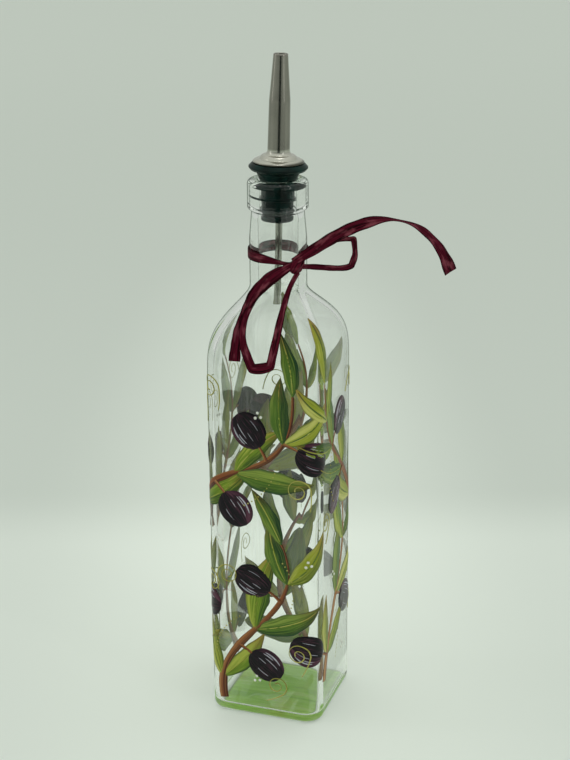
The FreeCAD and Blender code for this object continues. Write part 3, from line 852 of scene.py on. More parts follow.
@dataclass
class Bottle:
    """The blown glass bottle: one shell with an outer and an inner skin."""

    outer: BottleForm = BottleForm(28.0, 8.8, 170.0, 42.0, 13.2)
    inner: BottleForm = BottleForm(25.2, 6.0, 168.0, 42.0, 9.3)
    heel_round: float = 3.5
    punt_radius: float = 20.0
    punt_depth: float = 0.8
    neck_top: float = 234.0
    collar_top: float = 246.4
    collar_radius: float = 12.1
    ring_bottom: float = 247.4
    ring_top: float = 261.4
    ring_radius: float = 13.9
    ring_round: float = 2.2
    foot_round: float = 1.6
    floor_height: float = 2.8
    floor_round: float = 3.0
    bore_taper: tuple[tuple[float, float], ...] = ((8.7, 246.4), (8.95, 245.2), (9.2, 244.0), (9.3, 243.0))
    mouth_radius: float = 8.5
    mouth_flare: float = 1.5
    corner_band: float = 33.5
    finish: ClearGlass = ClearGlass()

    def directions(self) -> np.ndarray:
        """Directions round the axis, closest together at the four corners."""
        band = self.corner_band
        side = np.concatenate([
            np.linspace(-45, -band, 18, endpoint=False), np.linspace(-band, band, 20, endpoint=False),
            np.linspace(band, 45, 18, endpoint=False),
        ])
        return np.radians((side[None, :] + np.array([0.0, 90.0, 180.0, 270.0])[:, None]).ravel())

    def underside(self, half: np.ndarray) -> np.ndarray:
        """Height of the bottom: a shallow cap of a sphere over the punt, and 0 outside it."""
        sphere = (self.punt_radius ** 2 + self.punt_depth ** 2) / (2 * self.punt_depth)
        cap = self.punt_depth - (sphere - np.sqrt(np.maximum(sphere ** 2 - half ** 2, 0.0)))
        return np.maximum(cap, 0.0)

    def outer_rows(self) -> np.ndarray:
        """Rows of (half side, corner radius, height) from the middle of the bottom to the top of the lip."""
        outer, punt = self.outer, self.punt_radius
        edge, edge_corner = outer.half - self.heel_round, outer.corner - self.heel_round
        base = np.concatenate([np.linspace(0.4, punt, 22), np.linspace(punt + 0.6, edge, 7)[:-1]])
        round_to = punt + 0.3
        corner = punt + (edge_corner - punt) * eased((base - round_to) / (edge - round_to))
        bend = quarter(9)
        back = self.heel_round * (1 - np.sin(bend))
        level = np.concatenate([
            np.linspace(self.heel_round, outer.rise_start, 30)[1:],
            outer.rise_start + outer.rise * np.linspace(0, 1, 72)[1:],
        ])
        shoulder_top = outer.rise_start + outer.rise
        foot, top = quarter(7), quarter(10)
        neck = np.vstack([
            beside(outer.top_radius, np.linspace(shoulder_top + 0.5, self.neck_top, 10)),
            (self.collar_radius + 0.04, self.collar_top), (self.collar_radius + 0.03, self.ring_bottom - 0.15),
            beside(self.ring_radius - self.foot_round + self.foot_round * np.sin(foot),
                   self.ring_bottom + self.foot_round * (1 - np.cos(foot))),
            beside(self.ring_radius, np.linspace(self.ring_bottom + self.foot_round + 0.4,
                                                 self.ring_top - self.ring_round - 0.4, 8)),
            beside(self.ring_radius - self.ring_round * (1 - np.cos(top)),
                   self.ring_top - self.ring_round * (1 - np.sin(top))),
        ])
        return np.vstack([
            beside(base, np.where(base < round_to, base, corner), self.underside(base)),
            beside(outer.half - back, outer.corner - back, self.heel_round * (1 - np.cos(bend))),
            beside(*outer.section(level), level), neck[:, [0, 0, 1]],
        ])

    def inner_rows(self) -> np.ndarray:
        """Rows of (half side, corner radius, height) from the mouth down to the middle of the inner floor."""
        inner, flare, bend = self.inner, quarter(8), quarter(10)[1:]
        tube = np.vstack([
            beside(self.mouth_radius + self.mouth_flare * (1 - np.sin(flare)),
                   self.ring_top - self.mouth_flare * (1 - np.cos(flare))),
            beside(self.mouth_radius, np.linspace(259.0, self.ring_bottom, 8)), self.bore_taper,
            beside(inner.top_radius, np.linspace(241.0, 210.6, 14)),
        ])
        level = np.concatenate([
            inner.rise_start + inner.rise * np.linspace(1, 0, 72),
            np.linspace(inner.rise_start, self.floor_height + self.floor_round, 30)[1:],
        ])
        back = self.floor_round * (1 - np.cos(bend))
        floor = np.linspace(inner.half - self.floor_round - 0.4, 0.4, 16)
        foot_corner = inner.corner - 0.7 * self.floor_round
        corner = foot_corner + (floor - foot_corner) * eased((floor[0] - floor) / 12)
        return np.vstack([
            tube[:, [0, 0, 1]], beside(*inner.section(level), level),
            beside(inner.half - back, inner.corner - back * 0.7,
                   self.floor_height + self.floor_round * (1 - np.sin(bend))),
            beside(floor, np.minimum(corner, floor), self.floor_height),
        ])

    def build(self) -> bpy.types.Object:
        """Loft the skins into one closed piece of glass."""
        rows = np.vstack([self.outer_rows(), self.inner_rows()])
        flat = self.outer.ring(rows[:, 0], rows[:, 1], self.directions())
        shell = Shell.of_rings(beside(flat[..., 0], flat[..., 1], rows[:, 2, None]))
        return stand_for(shell.piece("glass_bottle", [self.finish.material()]), "bottle_glass")


@dataclass
class BasePaint:
    """The green wash under the base: a thin skin just inside the bottom face of the glass."""

    bottle: Bottle
    half: float = 24.5
    corner: float = 5.2
    sunk: float = 0.03
    thick: float = 0.12
    finish: BaseWash = BaseWash()

    def build(self) -> bpy.types.Object:
        """Loft rounded squares out from the middle along the top and back along the bottom."""
        out = np.concatenate([np.linspace(0.5, self.half, 40), [self.half + 0.05]])
        corner = np.where(out < 14, out, out + (self.corner - out) * eased((out - 14) / (self.half - 14)))
        high, inward = self.sunk + self.thick, np.full(len(out) - 1, 1.0)
        lift = np.concatenate([inward * high, [high - 0.04, self.sunk + 0.04], inward * self.sunk])
        angle = np.radians(np.arange(0, 360, 2.5))
        flat = self.bottle.outer.ring(there_and_back(out, out), there_and_back(corner, corner), angle)
        height = self.bottle.underside(np.linalg.norm(flat, axis=-1)) + lift[:, None]
        shell = Shell.of_rings(beside(flat[..., 0], flat[..., 1], height))
        return stand_for(shell.piece("base_paint", [self.finish.material()]))


# ---------------------------------------------------------------- pourer

TUBE_TINT = (0.36, 0.365, 0.32)


@dataclass
class Pourer:
    """The pourer: a bored finned stopper, a tapered spout on a low dome, and a thin breather tube."""

    seat_height: float = 255.9
    lean: float = 1.8
    plug: tuple[float, float, float] = (7.3, -13.5, -10.6)
    waist: float = 6.6
    fins: tuple[float, float, float] = (-9.0, -2.8, 2.2)
    fin_radius: float = 8.55
    half_fin: float = 0.55
    core: float = 7.1
    upper_core: float = 7.6
    stem: float = 8.8
    stem_foot: float = 5.6
    lip: float = 9.75
    flange_foot: float = 9.4
    flange_foot_radius: float = 12.4
    flange_radius: float = 13.45
    flange_rim: float = 11.1
    flange_top: float = 12.7
    dome_radius: float = 11.6
    dome_edge: float = 0.7
    dome_rise: float = 3.7
    dome_brow: float = 6.6
    dome_step: float = 0.56
    foot: tuple[float, float] = (5.05, 18.4)
    knee: tuple[float, float] = (4.75, 40.6)
    tip: tuple[float, float] = (3.25, 60.9)
    sheet: float = 0.5
    liner_foot: float = -10.0
    breather: tuple[float, float, float, float] = (1.65, 0.4, -54.8, 17.0)
    breather_back: float = 2.85
    plastic: DarkPlastic = DarkPlastic()
    steel: SpunSteel = SpunSteel()
    tube_steel: SpunSteel = SpunSteel("tube_steel", TUBE_TINT, 0.2, 900.0, TUBE_TINT, TUBE_TINT)

    def seated(self, shell: Shell) -> Shell:
        """Lean a shell about +Y by the pourer's lean and lift it to its seat in the mouth."""
        x, y, z = shell.points.T
        z, x = rotated(z, x, math.radians(self.lean))
        shell.points = beside(x, y, z + self.seat_height)
        return shell

    def stopper(self) -> bpy.types.Object:
        """The stopper: its closed outline is turned about its axis."""
        way, liner = self.foot[0] - self.sheet, self.foot[0] + 0.05
        low, middle, top = self.fins
        h, fin = self.half_fin, self.fin_radius
        outline = np.array([
            (way, self.plug[1]), (self.plug[0] - 0.7, self.plug[1]), (self.plug[0], self.plug[1] + 0.7),
            (self.plug[0], self.plug[2]), (self.waist, self.plug[2]), (self.waist, low - h),
            (fin, low - h * 0.5), (fin, low + h * 0.5), (self.core, low + h * 2.5),
            (self.upper_core - 0.2, middle - h), (fin, middle - h), (fin, middle + h), (self.upper_core, middle + h),
            (self.upper_core, top - h * 0.6), (fin, top - h * 1.6), (fin, top + h),
            (self.stem - 0.7, self.stem_foot - 1.0), (self.stem, self.stem_foot),
            (self.lip - 0.2, self.flange_foot - 1.7), (self.lip, self.flange_foot - 1.3),
            (self.lip, self.flange_foot - 0.7), (self.lip - 0.4, self.flange_foot - 0.4),
            (self.lip - 0.4, self.flange_foot), (self.flange_foot_radius, self.flange_foot),
            (self.flange_radius, self.flange_rim - 0.5), (self.flange_radius, self.flange_rim),
            (self.dome_radius + 0.3, self.flange_top), (liner, self.flange_top),
            (liner, self.liner_foot), (way, self.liner_foot),
        ])
        shell = self.seated(turned(softened(outline, 0.28)))
        return stand_for(shell.piece("pourer_stopper", [self.plastic.material()]), "stopper")

    def spout(self) -> bpy.types.Object:
        """The spout: a rolled edge, a dome in two tiers, a foot fillet and a taper that bends at the knee."""
        base, crown = self.flange_top + 0.12, self.flange_top + self.dome_rise
        t, s, k = np.linspace(0, 1, 26), quarter(16)[1:], np.linspace(0, 1, 24)[1:]
        brim = np.sin(np.clip(t / self.dome_step, 0, 1) * math.pi / 2) ** 0.9
        cap = np.sin(np.clip((t - self.dome_step) / (1 - self.dome_step), 0, 1) * math.pi / 2) ** 0.9
        (foot, foot_up), (knee, knee_up), (tip, tip_up) = self.foot, self.knee, self.tip
        outline = np.vstack([
            (self.dome_radius - 0.35, base), (self.dome_radius + 0.02, base + 0.18),
            (self.dome_radius + 0.04, base + 0.5),
            beside(self.dome_radius + (self.dome_brow - self.dome_radius) * t,
                   base + self.dome_edge + (crown - base - self.dome_edge) * (0.4 * brim + 0.6 * cap)),
            beside(self.dome_brow + (foot - self.dome_brow) * np.sin(s),
                   crown + (foot_up - crown) * (1 - np.cos(s)) ** 0.85),
            beside(foot + (knee - foot) * k, foot_up + (knee_up - foot_up) * k),
            beside(knee + (tip - knee) * k ** 0.96, knee_up + (tip_up - knee_up) * k),
            (tip - 0.12, tip_up + 0.12), (tip - self.sheet + 0.12, tip_up + 0.12),
            (tip - self.sheet, tip_up - 0.1), (knee - self.sheet, knee_up), (foot - self.sheet, foot_up),
            (foot - self.sheet, self.liner_foot), (foot, self.liner_foot), (foot, base),
        ])
        shell = self.seated(turned(outline, 160))
        return stand_for(shell.piece("steel_spout", [self.steel.material()]), "spout")

    def tube(self) -> bpy.types.Object:
        """The breather tube: a thin pipe set back from the axis, with dressed ends."""
        radius, wall, low, high = self.breather
        outline = np.array([(radius, low), (radius, high), (radius - wall, high), (radius - wall, low)])
        shell = turned(softened(outline, 0.15, 3), 40)
        shell.points[:, 1] += self.breather_back
        return stand_for(self.seated(shell).piece("breather_pipe", [self.tube_steel.material()]),
                         "breather_tube")


# ---------------------------------------------------------------- raffia

TO_VIEWER = (0.32, -0.925, 0.205)


class Ending(Enum):
    """How a free length of raffia ends."""

    CUT = "bare"
    TIED_IN = "object"


@dataclass(frozen=True)
class Strip:
    """One free length of raffia, as its route from the knot, its widths and the way that it faces."""

    name: str
    node: str
    route: tuple[Point, ...]
    length: float
    width: float
    ending: Ending
    widths: tuple[tuple[float, float], ...]
    faces: tuple[tuple[float, Point], ...]
    curl: float = 0.35
    pleat: float = 0.16
    thick: float = 0.34

    def line(self) -> np.ndarray:
        """Points read from the smooth NURBS line whose control points are the route's, in millimetres."""
        curve = bpy.data.curves.new(self.name + "_line", "CURVE")
        curve.dimensions = "3D"
        curve.resolution_u = 14
        spline = curve.splines.new("NURBS")
        spline.points.add(len(self.route) - 1)
        control = np.column_stack([np.array(self.route) * METRE, np.ones(len(self.route))])
        spline.points.foreach_set("co", control.astype(np.float32).ravel())
        spline.order_u = 3
        spline.use_endpoint_u = True
        holder = linked(self.name + "_line", curve)
        bpy.context.view_layer.update()
        mesh = bpy.data.meshes.new_from_object(holder)
        read = np.zeros(len(mesh.vertices) * 3, np.float32)
        mesh.vertices.foreach_get("co", read)
        bpy.data.objects.remove(holder)
        bpy.data.meshes.remove(mesh)
        bpy.data.curves.remove(curve)
        return read.reshape(-1, 3).astype(float) / METRE

    def build(self, finish: bpy.types.Material) -> bpy.types.Object:
        """Carry a pleated, slightly curled section along the line.

        Across the strip, from -1 to 1, the section leaves its flat by curl times the square of the place
        across, and by a pleat of two waves that fades in and out along the way.

        Args:
            finish: The raffia material.

        Returns:
            The strip.
        """
        line = self.line()
        line = line[np.concatenate([[True], np.linalg.norm(np.diff(line, axis=0), axis=1) > 1e-4])]
        travelled = np.concatenate([[0], np.cumsum(np.linalg.norm(np.diff(line, axis=0), axis=1))])
        share = travelled / travelled[-1]
        tangent = unit(np.gradient(line, travelled, axis=0))
        facing = between(share, list(self.faces))
        facing = unit(facing - (facing * tangent).sum(1, keepdims=True) * tangent)
        half = between(share, list(self.widths)) / 2
        half *= 1 + 0.05 * np.sin(share * 23.0 + len(self.name)) + 0.03 * np.sin(share * 61.0)
        v = np.linspace(-1, 1, 15)
        waves = self.pleat * np.sin(v * 6.5 + share[:, None] * 5.0) * (0.6 + 0.4 * np.sin(share * 17.0))[:, None]
        lift = (self.curl * (v ** 2 - 0.4) + waves) * np.minimum(1.0, half / 1.6)[:, None]
        edge = self.thick / 2 * (0.35 + 0.65 * dome(v))
        place, height = there_and_back(v, v), there_and_back(lift + edge, lift - edge)
        rings = (line[:, None] + np.cross(tangent, facing)[:, None] * (half[:, None] * place)[..., None]
                 + facing[:, None] * height[..., None])
        shell = Shell.of_rings(rings, beside(travelled[:, None], (place + 1) / 2))
        piece = stand_for(shell.piece(self.name, [finish]), self.node)
        return piece


STRIPS = (
    Strip(
        "raffia_right_tail", "raffia_tail_right",
        ((11.2, -11.9, 226.4), (16.8, -12.1, 230.1), (23.4, -11.4, 234.6), (30.1, -10.1, 239.1),
         (37.2, -8.6, 243.0), (44.7, -6.7, 245.9), (52.5, -4.4, 247.2), (60.1, -1.8, 246.0),
         (66.7, 1.2, 242.4), (72.1, 4.0, 236.6), (76.1, 6.6, 229.6), (78.5, 8.8, 221.8)),
        88.9, 5.4, Ending.CUT,
        ((0.0, 3.6), (0.10, 4.6), (0.28, 5.6), (0.46, 4.8), (0.61, 2.6), (0.74, 4.2), (0.88, 5.4), (1.0, 6.4)),
        ((0.0, TO_VIEWER), (0.38, (0.32, -0.88, 0.35)), (0.60, (0.10, -0.12, 0.98)),
         (0.76, (0.54, -0.51, 0.66)), (1.0, (0.68, -0.70, 0.15))),
    ),
    Strip(
        "raffia_left_tail", "raffia_tail_left",
        ((10.8, -12.2, 225.0), (5.3, -15.8, 222.0), (-0.4, -17.7, 217.8), (-5.1, -19.1, 212.4),
         (-8.0, -21.5, 206.4), (-9.2, -25.6, 200.8), (-9.6, -29.8, 194.4), (-9.7, -32.6, 188.2),
         (-9.6, -33.6, 184.2)),
        55.1, 5.4, Ending.CUT,
        ((0.0, 3.2), (0.20, 5.2), (0.35, 5.2), (0.62, 4.2), (1.0, 5.2)),
        ((0.0, TO_VIEWER), (0.30, (0.17, -0.89, 0.42)), (0.50, (0.82, -0.46, 0.35)),
         (0.62, (0.75, -0.59, 0.30)), (0.85, (0.27, -0.91, 0.3)), (1.0, (0.18, -0.94, 0.3))),
    ),
    Strip(
        "raffia_right_loop", "raffia_loop_right",
        ((12.3, -10.4, 224.0), (17.5, -8.8, 223.9), (23.2, -7.2, 223.6), (29.0, -5.6, 223.2),
         (33.6, -4.2, 223.4), (35.7, -3.4, 224.3), (35.9, -3.4, 224.6), (36.8, -3.1, 227.4),
         (37.3, -2.9, 229.8), (37.1, -3.0, 233.4), (36.8, -3.2, 236.6), (36.5, -3.3, 236.9),
         (33.0, -4.4, 236.8), (28.8, -5.6, 236.3), (23.1, -7.0, 233.0), (17.8, -7.8, 229.6),
         (12.4, -9.4, 226.2)),
        60.9, 3.4, Ending.TIED_IN,
        ((0.0, 2.6), (0.5, 3.0), (1.0, 2.4)),
        ((0.0, (0.26, -0.73, 0.62)), (0.35, (0.26, -0.78, 0.55)), (0.5, (0.77, -0.56, 0.2)),
         (0.65, (0.16, -0.77, -0.60)), (1.0, (0.16, -0.79, -0.55))),
        0.2, 0.12,
    ),
    Strip(
        "raffia_down_loop", "raffia_loop_left",
        ((13.4, -11.8, 221.6), (11.3, -14.9, 217.6), (9.7, -18.3, 210.6), (9.1, -23.6, 203.4),
         (8.4, -28.1, 194.4), (7.7, -31.3, 187.6), (7.0, -32.3, 183.4), (6.6, -32.5, 182.9),
         (3.0, -33.4, 181.9), (-0.6, -34.0, 181.6), (-1.3, -33.9, 182.0), (-3.7, -33.1, 186.6),
         (-6.0, -32.0, 192.0), (-7.4, -29.0, 197.6), (-7.9, -22.6, 203.6), (-5.6, -17.6, 209.8),
         (-1.2, -15.4, 214.4), (4.3, -14.6, 218.8), (7.6, -13.6, 222.0), (10.6, -11.4, 224.0)),
        109.2, 3.4, Ending.TIED_IN,
        ((0.0, 2.2), (0.12, 2.6), (0.36, 4.0), (0.44, 4.6), (0.52, 4.0), (0.66, 3.0), (0.8, 3.0), (1.0, 2.6)),
        ((0.0, (0.17, -0.89, 0.42)), (0.40, (0.23, -0.93, 0.25)), (0.60, (0.42, -0.87, 0.2)),
         (0.72, (0.65, -0.65, 0.35)), (1.0, (0.17, -0.89, 0.42))),
        0.25, 0.14,
    ),
)


@dataclass
class Bow:
    """The raffia: a band round the neck, a tight knot and four free lengths."""

    band_height: float = 227.4
    band_radius: float = 13.75
    band_width: float = 4.5
    knot_centre: Point = (12.36, -10.19, 224.7)
    knot_turn: float = 50.6
    knot_axes: Point = (4.3, 3.2, 4.6)
    knot_width: float = 1.7
    dip: float = 2.7
    finish: Raffia = Raffia()
    strips: tuple[Strip, ...] = STRIPS

    def band(self, finish: bpy.types.Material) -> bpy.types.Object:
        """The band: a strip carried round the neck that narrows and dips towards the knot.

        With d the angle from the knot, the width grows by the eased share of d between 12 and 80 degrees,
        and the strip's middle dips by a bell of d.

        Args:
            finish: The raffia material.

        Returns:
            The band.
        """
        angle = np.linspace(0, 2 * math.pi, 181)[:-1]
        knot = math.radians(self.knot_turn - 90.0)
        off = np.degrees(np.abs((angle - knot + math.pi) % (2 * math.pi) - math.pi))
        half = (self.knot_width + (self.band_width - 1.5) * eased((off - 12) / 68)) / 2
        middle = self.band_height - self.dip * np.exp(-((off / 40) ** 2))
        v = np.linspace(-1, 1, 17)
        crease = 0.13 * np.sin(v * 7.0 + angle[:, None] * 2.0) * (0.5 + 0.5 * np.sin(angle * 3.0 + 1.0))[:, None]
        edge = 0.3 + 0.7 * dome(v)
        skin = self.band_radius + crease * (off[:, None] > 8)
        place = there_and_back(v, v)
        radius = there_and_back(skin + 0.24 * edge, np.maximum(skin - 0.22 * edge, 13.3))
        rings = beside(radius * np.cos(angle)[:, None], radius * np.sin(angle)[:, None],
                       middle[:, None] + half[:, None] * place)
        shell = Shell.of_rings(rings, beside((angle * self.band_radius)[:, None], (place + 1) / 2), ring_closes=True)
        return stand_for(shell.piece("raffia_neck_band", [finish]), "raffia_band")

    def knot(self, finish: bpy.types.Material) -> bpy.types.Object:
        """The knot: an egg form gathered into folds that run slantwise round it, with a wrap over it.

        A point of the egg at latitude b and longitude a is pushed out by folds, sine of 6 a and 2 b.

        Args:
            finish: The raffia material.

        Returns:
            The knot.
        """
        latitude = np.linspace(-math.pi / 2, math.pi / 2, 60)[1:-1, None]
        longitude = np.linspace(0, 2 * math.pi, 96, endpoint=False)[None, :]
        folds = 1 + 0.07 * np.sin(5 * longitude + 2.2 * latitude) * np.cos(latitude)
        folds = folds + 0.04 * np.sin(11 * longitude - 3.0 * latitude) * np.cos(latitude)
        girth = np.cos(latitude) * folds * (1 - 0.10 * np.exp(-((latitude - 0.2) / 0.25) ** 2))
        across, deep, tall = self.knot_axes
        up, level = rotated(tall * 0.98 * np.sin(latitude), across * 0.72 * girth * np.cos(longitude),
                            math.radians(38.0))
        x, y = rotated(level, -deep * 0.95 * girth * np.sin(longitude), math.radians(self.knot_turn))
        rings = beside(x, y, up) + np.array(self.knot_centre)
        shell = Shell.of_rings(rings, beside(latitude * 4.0, longitude / (2 * math.pi) * 1.6))
        return stand_for(shell.piece("raffia_tied_knot", [finish]), "raffia_knot")


# ---------------------------------------------------------------- painted sprigs


class Paint(Enum):
    """The pots that the ornament is painted from."""

    GREEN = "leaf_green"
    OLIVE = "leaf_yellow_green"
    TEAL = "leaf_dark_green"
    FRUIT = "fruit_dark"
    SHINE = "fruit_shine"
    WOOD = "stem_brown"
    GOLD = "scroll_gold"
    DOT = "dot_white"


ENAMELS: dict[Paint, Enamel] = {
    Paint.GREEN: Enamel("enamel_green", (0.040, 0.095, 0.010), (0.160, 0.265, 0.018), (0.45, 0.50, 0.075),
                        (0.035, 0.070, 0.016), tip=(0.24, 0.10, 0.03)),
    Paint.OLIVE: Enamel("enamel_yellow_green", (0.11, 0.16, 0.010), (0.33, 0.375, 0.030), (0.60, 0.60, 0.16),
                        (0.08, 0.12, 0.02), tip=(0.32, 0.14, 0.04)),
    Paint.TEAL: Enamel("enamel_dark_green", (0.014, 0.050, 0.012), (0.080, 0.165, 0.018), (0.27, 0.36, 0.060),
                       (0.014, 0.055, 0.030), tip=(0.14, 0.07, 0.03)),
    Paint.FRUIT: Enamel("enamel_aubergine", (0.0022, 0.0018, 0.0035), (0.0065, 0.0035, 0.0075),
                        (0.105, 0.035, 0.060), (0.0015, 0.0015, 0.003), 0.14, 7.0,
                        haze=(0.085, 0.088, 0.085), through=1.0),
    Paint.SHINE: Enamel("enamel_shine", (0.22, 0.22, 0.27), (0.42, 0.42, 0.50), (0.80, 0.82, 0.88),
                        (0.25, 0.22, 0.28), 0.25, 4.0),
    Paint.WOOD: Enamel("enamel_brown", (0.075, 0.018, 0.008), (0.26, 0.080, 0.026), (0.50, 0.25, 0.09),
                       (0.06, 0.02, 0.01), 0.3, 6.0, haze=(0.50, 0.32, 0.23)),
    Paint.GOLD: Enamel("enamel_gold", (0.26, 0.24, 0.03), (0.46, 0.43, 0.08), (0.68, 0.65, 0.22),
                       (0.25, 0.24, 0.05), 0.3, 2.0, haze=(0.40, 0.42, 0.20)),
    Paint.DOT: Enamel("enamel_white", (0.80, 0.82, 0.72), (0.86, 0.87, 0.78), (0.92, 0.92, 0.86),
                      (0.75, 0.76, 0.66), 0.25, 2.0, haze=(0.7, 0.72, 0.62)),
}


@dataclass
class Relief:
    """How high the paint already stands over the flat drawing, so that later strokes lie on earlier ones."""

    round_way: float
    top: float = 215.0
    cell: float = 0.25
    field: np.ndarray = field(init=False)

    def __post_init__(self) -> None:
        """Start with no paint."""
        self.field = np.zeros((int(self.round_way / self.cell), int(self.top / self.cell)))

    def _cells(self, way: np.ndarray, height: np.ndarray) -> tuple[np.ndarray, np.ndarray]:
        """The cell of each point."""
        i = np.floor(way / self.cell).astype(int) % self.field.shape[0]
        return i, np.clip(np.floor(height / self.cell).astype(int), 0, self.field.shape[1] - 1)

    def under(self, way: np.ndarray, height: np.ndarray, small: bool) -> np.ndarray:
        """The height of the paint about each point: the mean of nine cells, or their highest for a small stroke."""
        spots = [self.field[self._cells(way + dx, height + dy)] for dx in (-0.5, 0, 0.5) for dy in (-0.5, 0, 0.5)]
        return np.max(spots, axis=0) if small else np.mean(spots, axis=0)

    def lay(self, way: np.ndarray, height: np.ndarray, top: np.ndarray) -> None:
        """Raise the field to the top of a new stroke."""
        np.maximum.at(self.field, self._cells(way, height), top)


@dataclass
class Ornament:
    """A traditional olive-branch ornament, painted in relief on the outside of the glass."""

    form: BottleForm
    relief: Relief = field(init=False)
    shells: dict[Paint, list[Shell]] = field(default_factory=dict)
    chance: np.random.Generator = field(default_factory=lambda: np.random.default_rng(11))
    laid: int = 0
    pots: tuple[Paint, ...] = (Paint.GREEN, Paint.OLIVE, Paint.TEAL)
    veins: tuple[Paint, ...] = (Paint.OLIVE, Paint.TEAL, Paint.OLIVE)
    fruit_size: tuple[float, float] = (19.0, 16.2)
    shine: tuple[tuple[float, ...], ...] = (
        (0.37, 0.50, 0.04, 0.34), (0.30, 0.30, -0.20, 0.18), (0.19, 0.42, 0.16, 0.13),
        (0.05, 0.24, -0.30, 0.10), (-0.26, 0.34, 0.12, 0.10),
    )

    def __post_init__(self) -> None:
        """Start with bare glass and an empty palette."""
        self.relief = Relief(4 * self.form.spread()[2])
        self.shells = {paint: [] for paint in Paint}

    def stroke(self, paint: Paint, line: np.ndarray, half: np.ndarray, crown: float, columns: int = 11) -> None:
        """Lay one stroke: a low crowned ribbon of paint along a line of the flat drawing.

        Its top stands above what is under it by the crown times the root of 1 less the square of the place
        across, and its underside lies just inside the glass, each stroke a hair further in than the last.

        Args:
            paint: The pot.
            line: Points (way round, height) in millimetres.
            half: Half widths at the points.
            crown: Height in the middle.
            columns: Points across.
        """
        flow = unit(np.gradient(line, axis=0))
        v = np.sin(np.linspace(-math.pi / 2, math.pi / 2, columns))
        wide = half[:, None] * v
        way, height = line[:, :1] - flow[:, 1:] * wide, line[:, 1:] + flow[:, :1] * wide
        swell = dome(v) * np.minimum(1, half / half.max() * 1.6)[:, None]
        top = (self.relief.under(way, height, half.max() < 1.0) + 0.03
               + crown * swell * (1 + 0.16 * np.sin(v * 9.0 + self.laid)))
        bottom = np.full_like(top, -0.12 + 0.0006 * self.laid)
        for share in np.linspace(0, 1, 4):
            self.relief.lay(*(net[:-1] * (1 - share) + net[1:] * share for net in (way, height, top)))
        rings = self.form.wrap(there_and_back(way, way), there_and_back(height, height), there_and_back(top, bottom))
        chart = beside(np.linspace(0, 1, len(line))[:, None], (there_and_back(v, v) + 1) / 2)
        faces_of = np.repeat([0, 1], columns)
        tone = float(self.chance.uniform(0, 1))
        self.shells[paint].append(Shell.of_rings(rings, chart, tone=tone, finish=faces_of))
        self.laid += 1

    @staticmethod
    def arc(start: np.ndarray, angle: float, length: float, bend: float, steps: int) -> np.ndarray:
        """A line of a given length whose direction turns evenly.

        Args:
            start: Where it begins.
            angle: The way it sets off, in degrees from level.
            length: Its length.
            bend: How far it turns in all, in degrees.
            steps: Number of points.

        Returns:
            Points (way round, height).
        """
        heading = np.radians(angle + bend * np.linspace(0, 1, steps))[:-1]
        moves = beside(np.cos(heading), np.sin(heading)) * (length / (steps - 1))
        return np.vstack([start, start + np.cumsum(moves, 0)])

    def leaf(self, paint: Paint, start: np.ndarray, angle: float, length: float, width: float, bend: float) -> None:
        """A lance-shaped leaf: its half width is the width times the sine of pi t^0.85, to the power 0.9."""
        line = self.arc(start, angle, length, bend, 34)
        t = np.linspace(0, 1, 34)
        half = width / 2 * np.sin(math.pi * np.clip(t, 0.006, 0.994) ** 0.85) ** 0.9
        half = half * (1 + 0.05 * np.sin(t * 19.0 + self.laid)) + 0.12
        self.stroke(paint, line, half, 0.26, 13)
        vein_half = 0.28 * np.sin(math.pi * np.clip(t[2:-3], 0.02, 0.98)) ** 0.5 + 0.05
        self.stroke(self.veins[self.pots.index(paint)], line[2:-3], vein_half, 0.06, 5)

    def fruit(self, centre: tuple[float, float], angle: float, length: float, width: float) -> None:
        """An oval fruit; each streak of shine is set out, reaches, shifts and is as wide as its row says."""
        t, s = np.linspace(-1, 1, 36), np.linspace(-1, 1, 24)
        heading, side, middle = ray(angle), ray(angle + 90), np.array(centre)
        half = width / 2 * dome(t) ** 0.94 + 0.05
        self.stroke(Paint.FRUIT, middle + heading * (t * length / 2)[:, None], half, 0.5, 17)
        for out, reach, shift, half_wide in self.shine:
            place = s * reach + shift
            streak = middle + heading * (place * length / 2)[:, None] + side * (width * out * dome(place))[:, None]
            self.stroke(Paint.SHINE, streak, half_wide * np.maximum(1 - s ** 2, 0) ** 0.6 + 0.04, 0.09, 5)

    def scroll(self, start: tuple[float, float], angle: float, size: float, turns: float, hand: int) -> None:
        """A gold scroll: a spiral whose radius shrinks evenly with the angle, after a short lead-in."""
        t = np.linspace(0, 1, int(60 * turns) + 20)
        lead = self.arc(np.array(start), angle, size * 0.9, 18 * hand, 12)
        heading = angle + 18 * hand
        sweep = math.radians(heading) + hand * (t * turns * 2 - 0.5) * math.pi
        spiral = beside(np.cos(sweep), np.sin(sweep)) * (size / 2 * (1 - 0.78 * t))[:, None]
        line = np.vstack([lead[:-1], lead[-1] + size / 2 * hand * ray(heading + 90) + spiral])
        self.stroke(Paint.GOLD, line, 0.24 + 0.07 * np.sin(np.linspace(0, 14, len(line))), 0.26, 7)

    def bead(self, paint: Paint, centre: tuple[float, float], radius: float) -> None:
        """A round bead of paint."""
        t = np.linspace(-0.995, 0.995, 10)
        self.stroke(paint, np.array(centre) + beside(t * radius, 0.0), radius * dome(t), 0.42 * radius, 9)

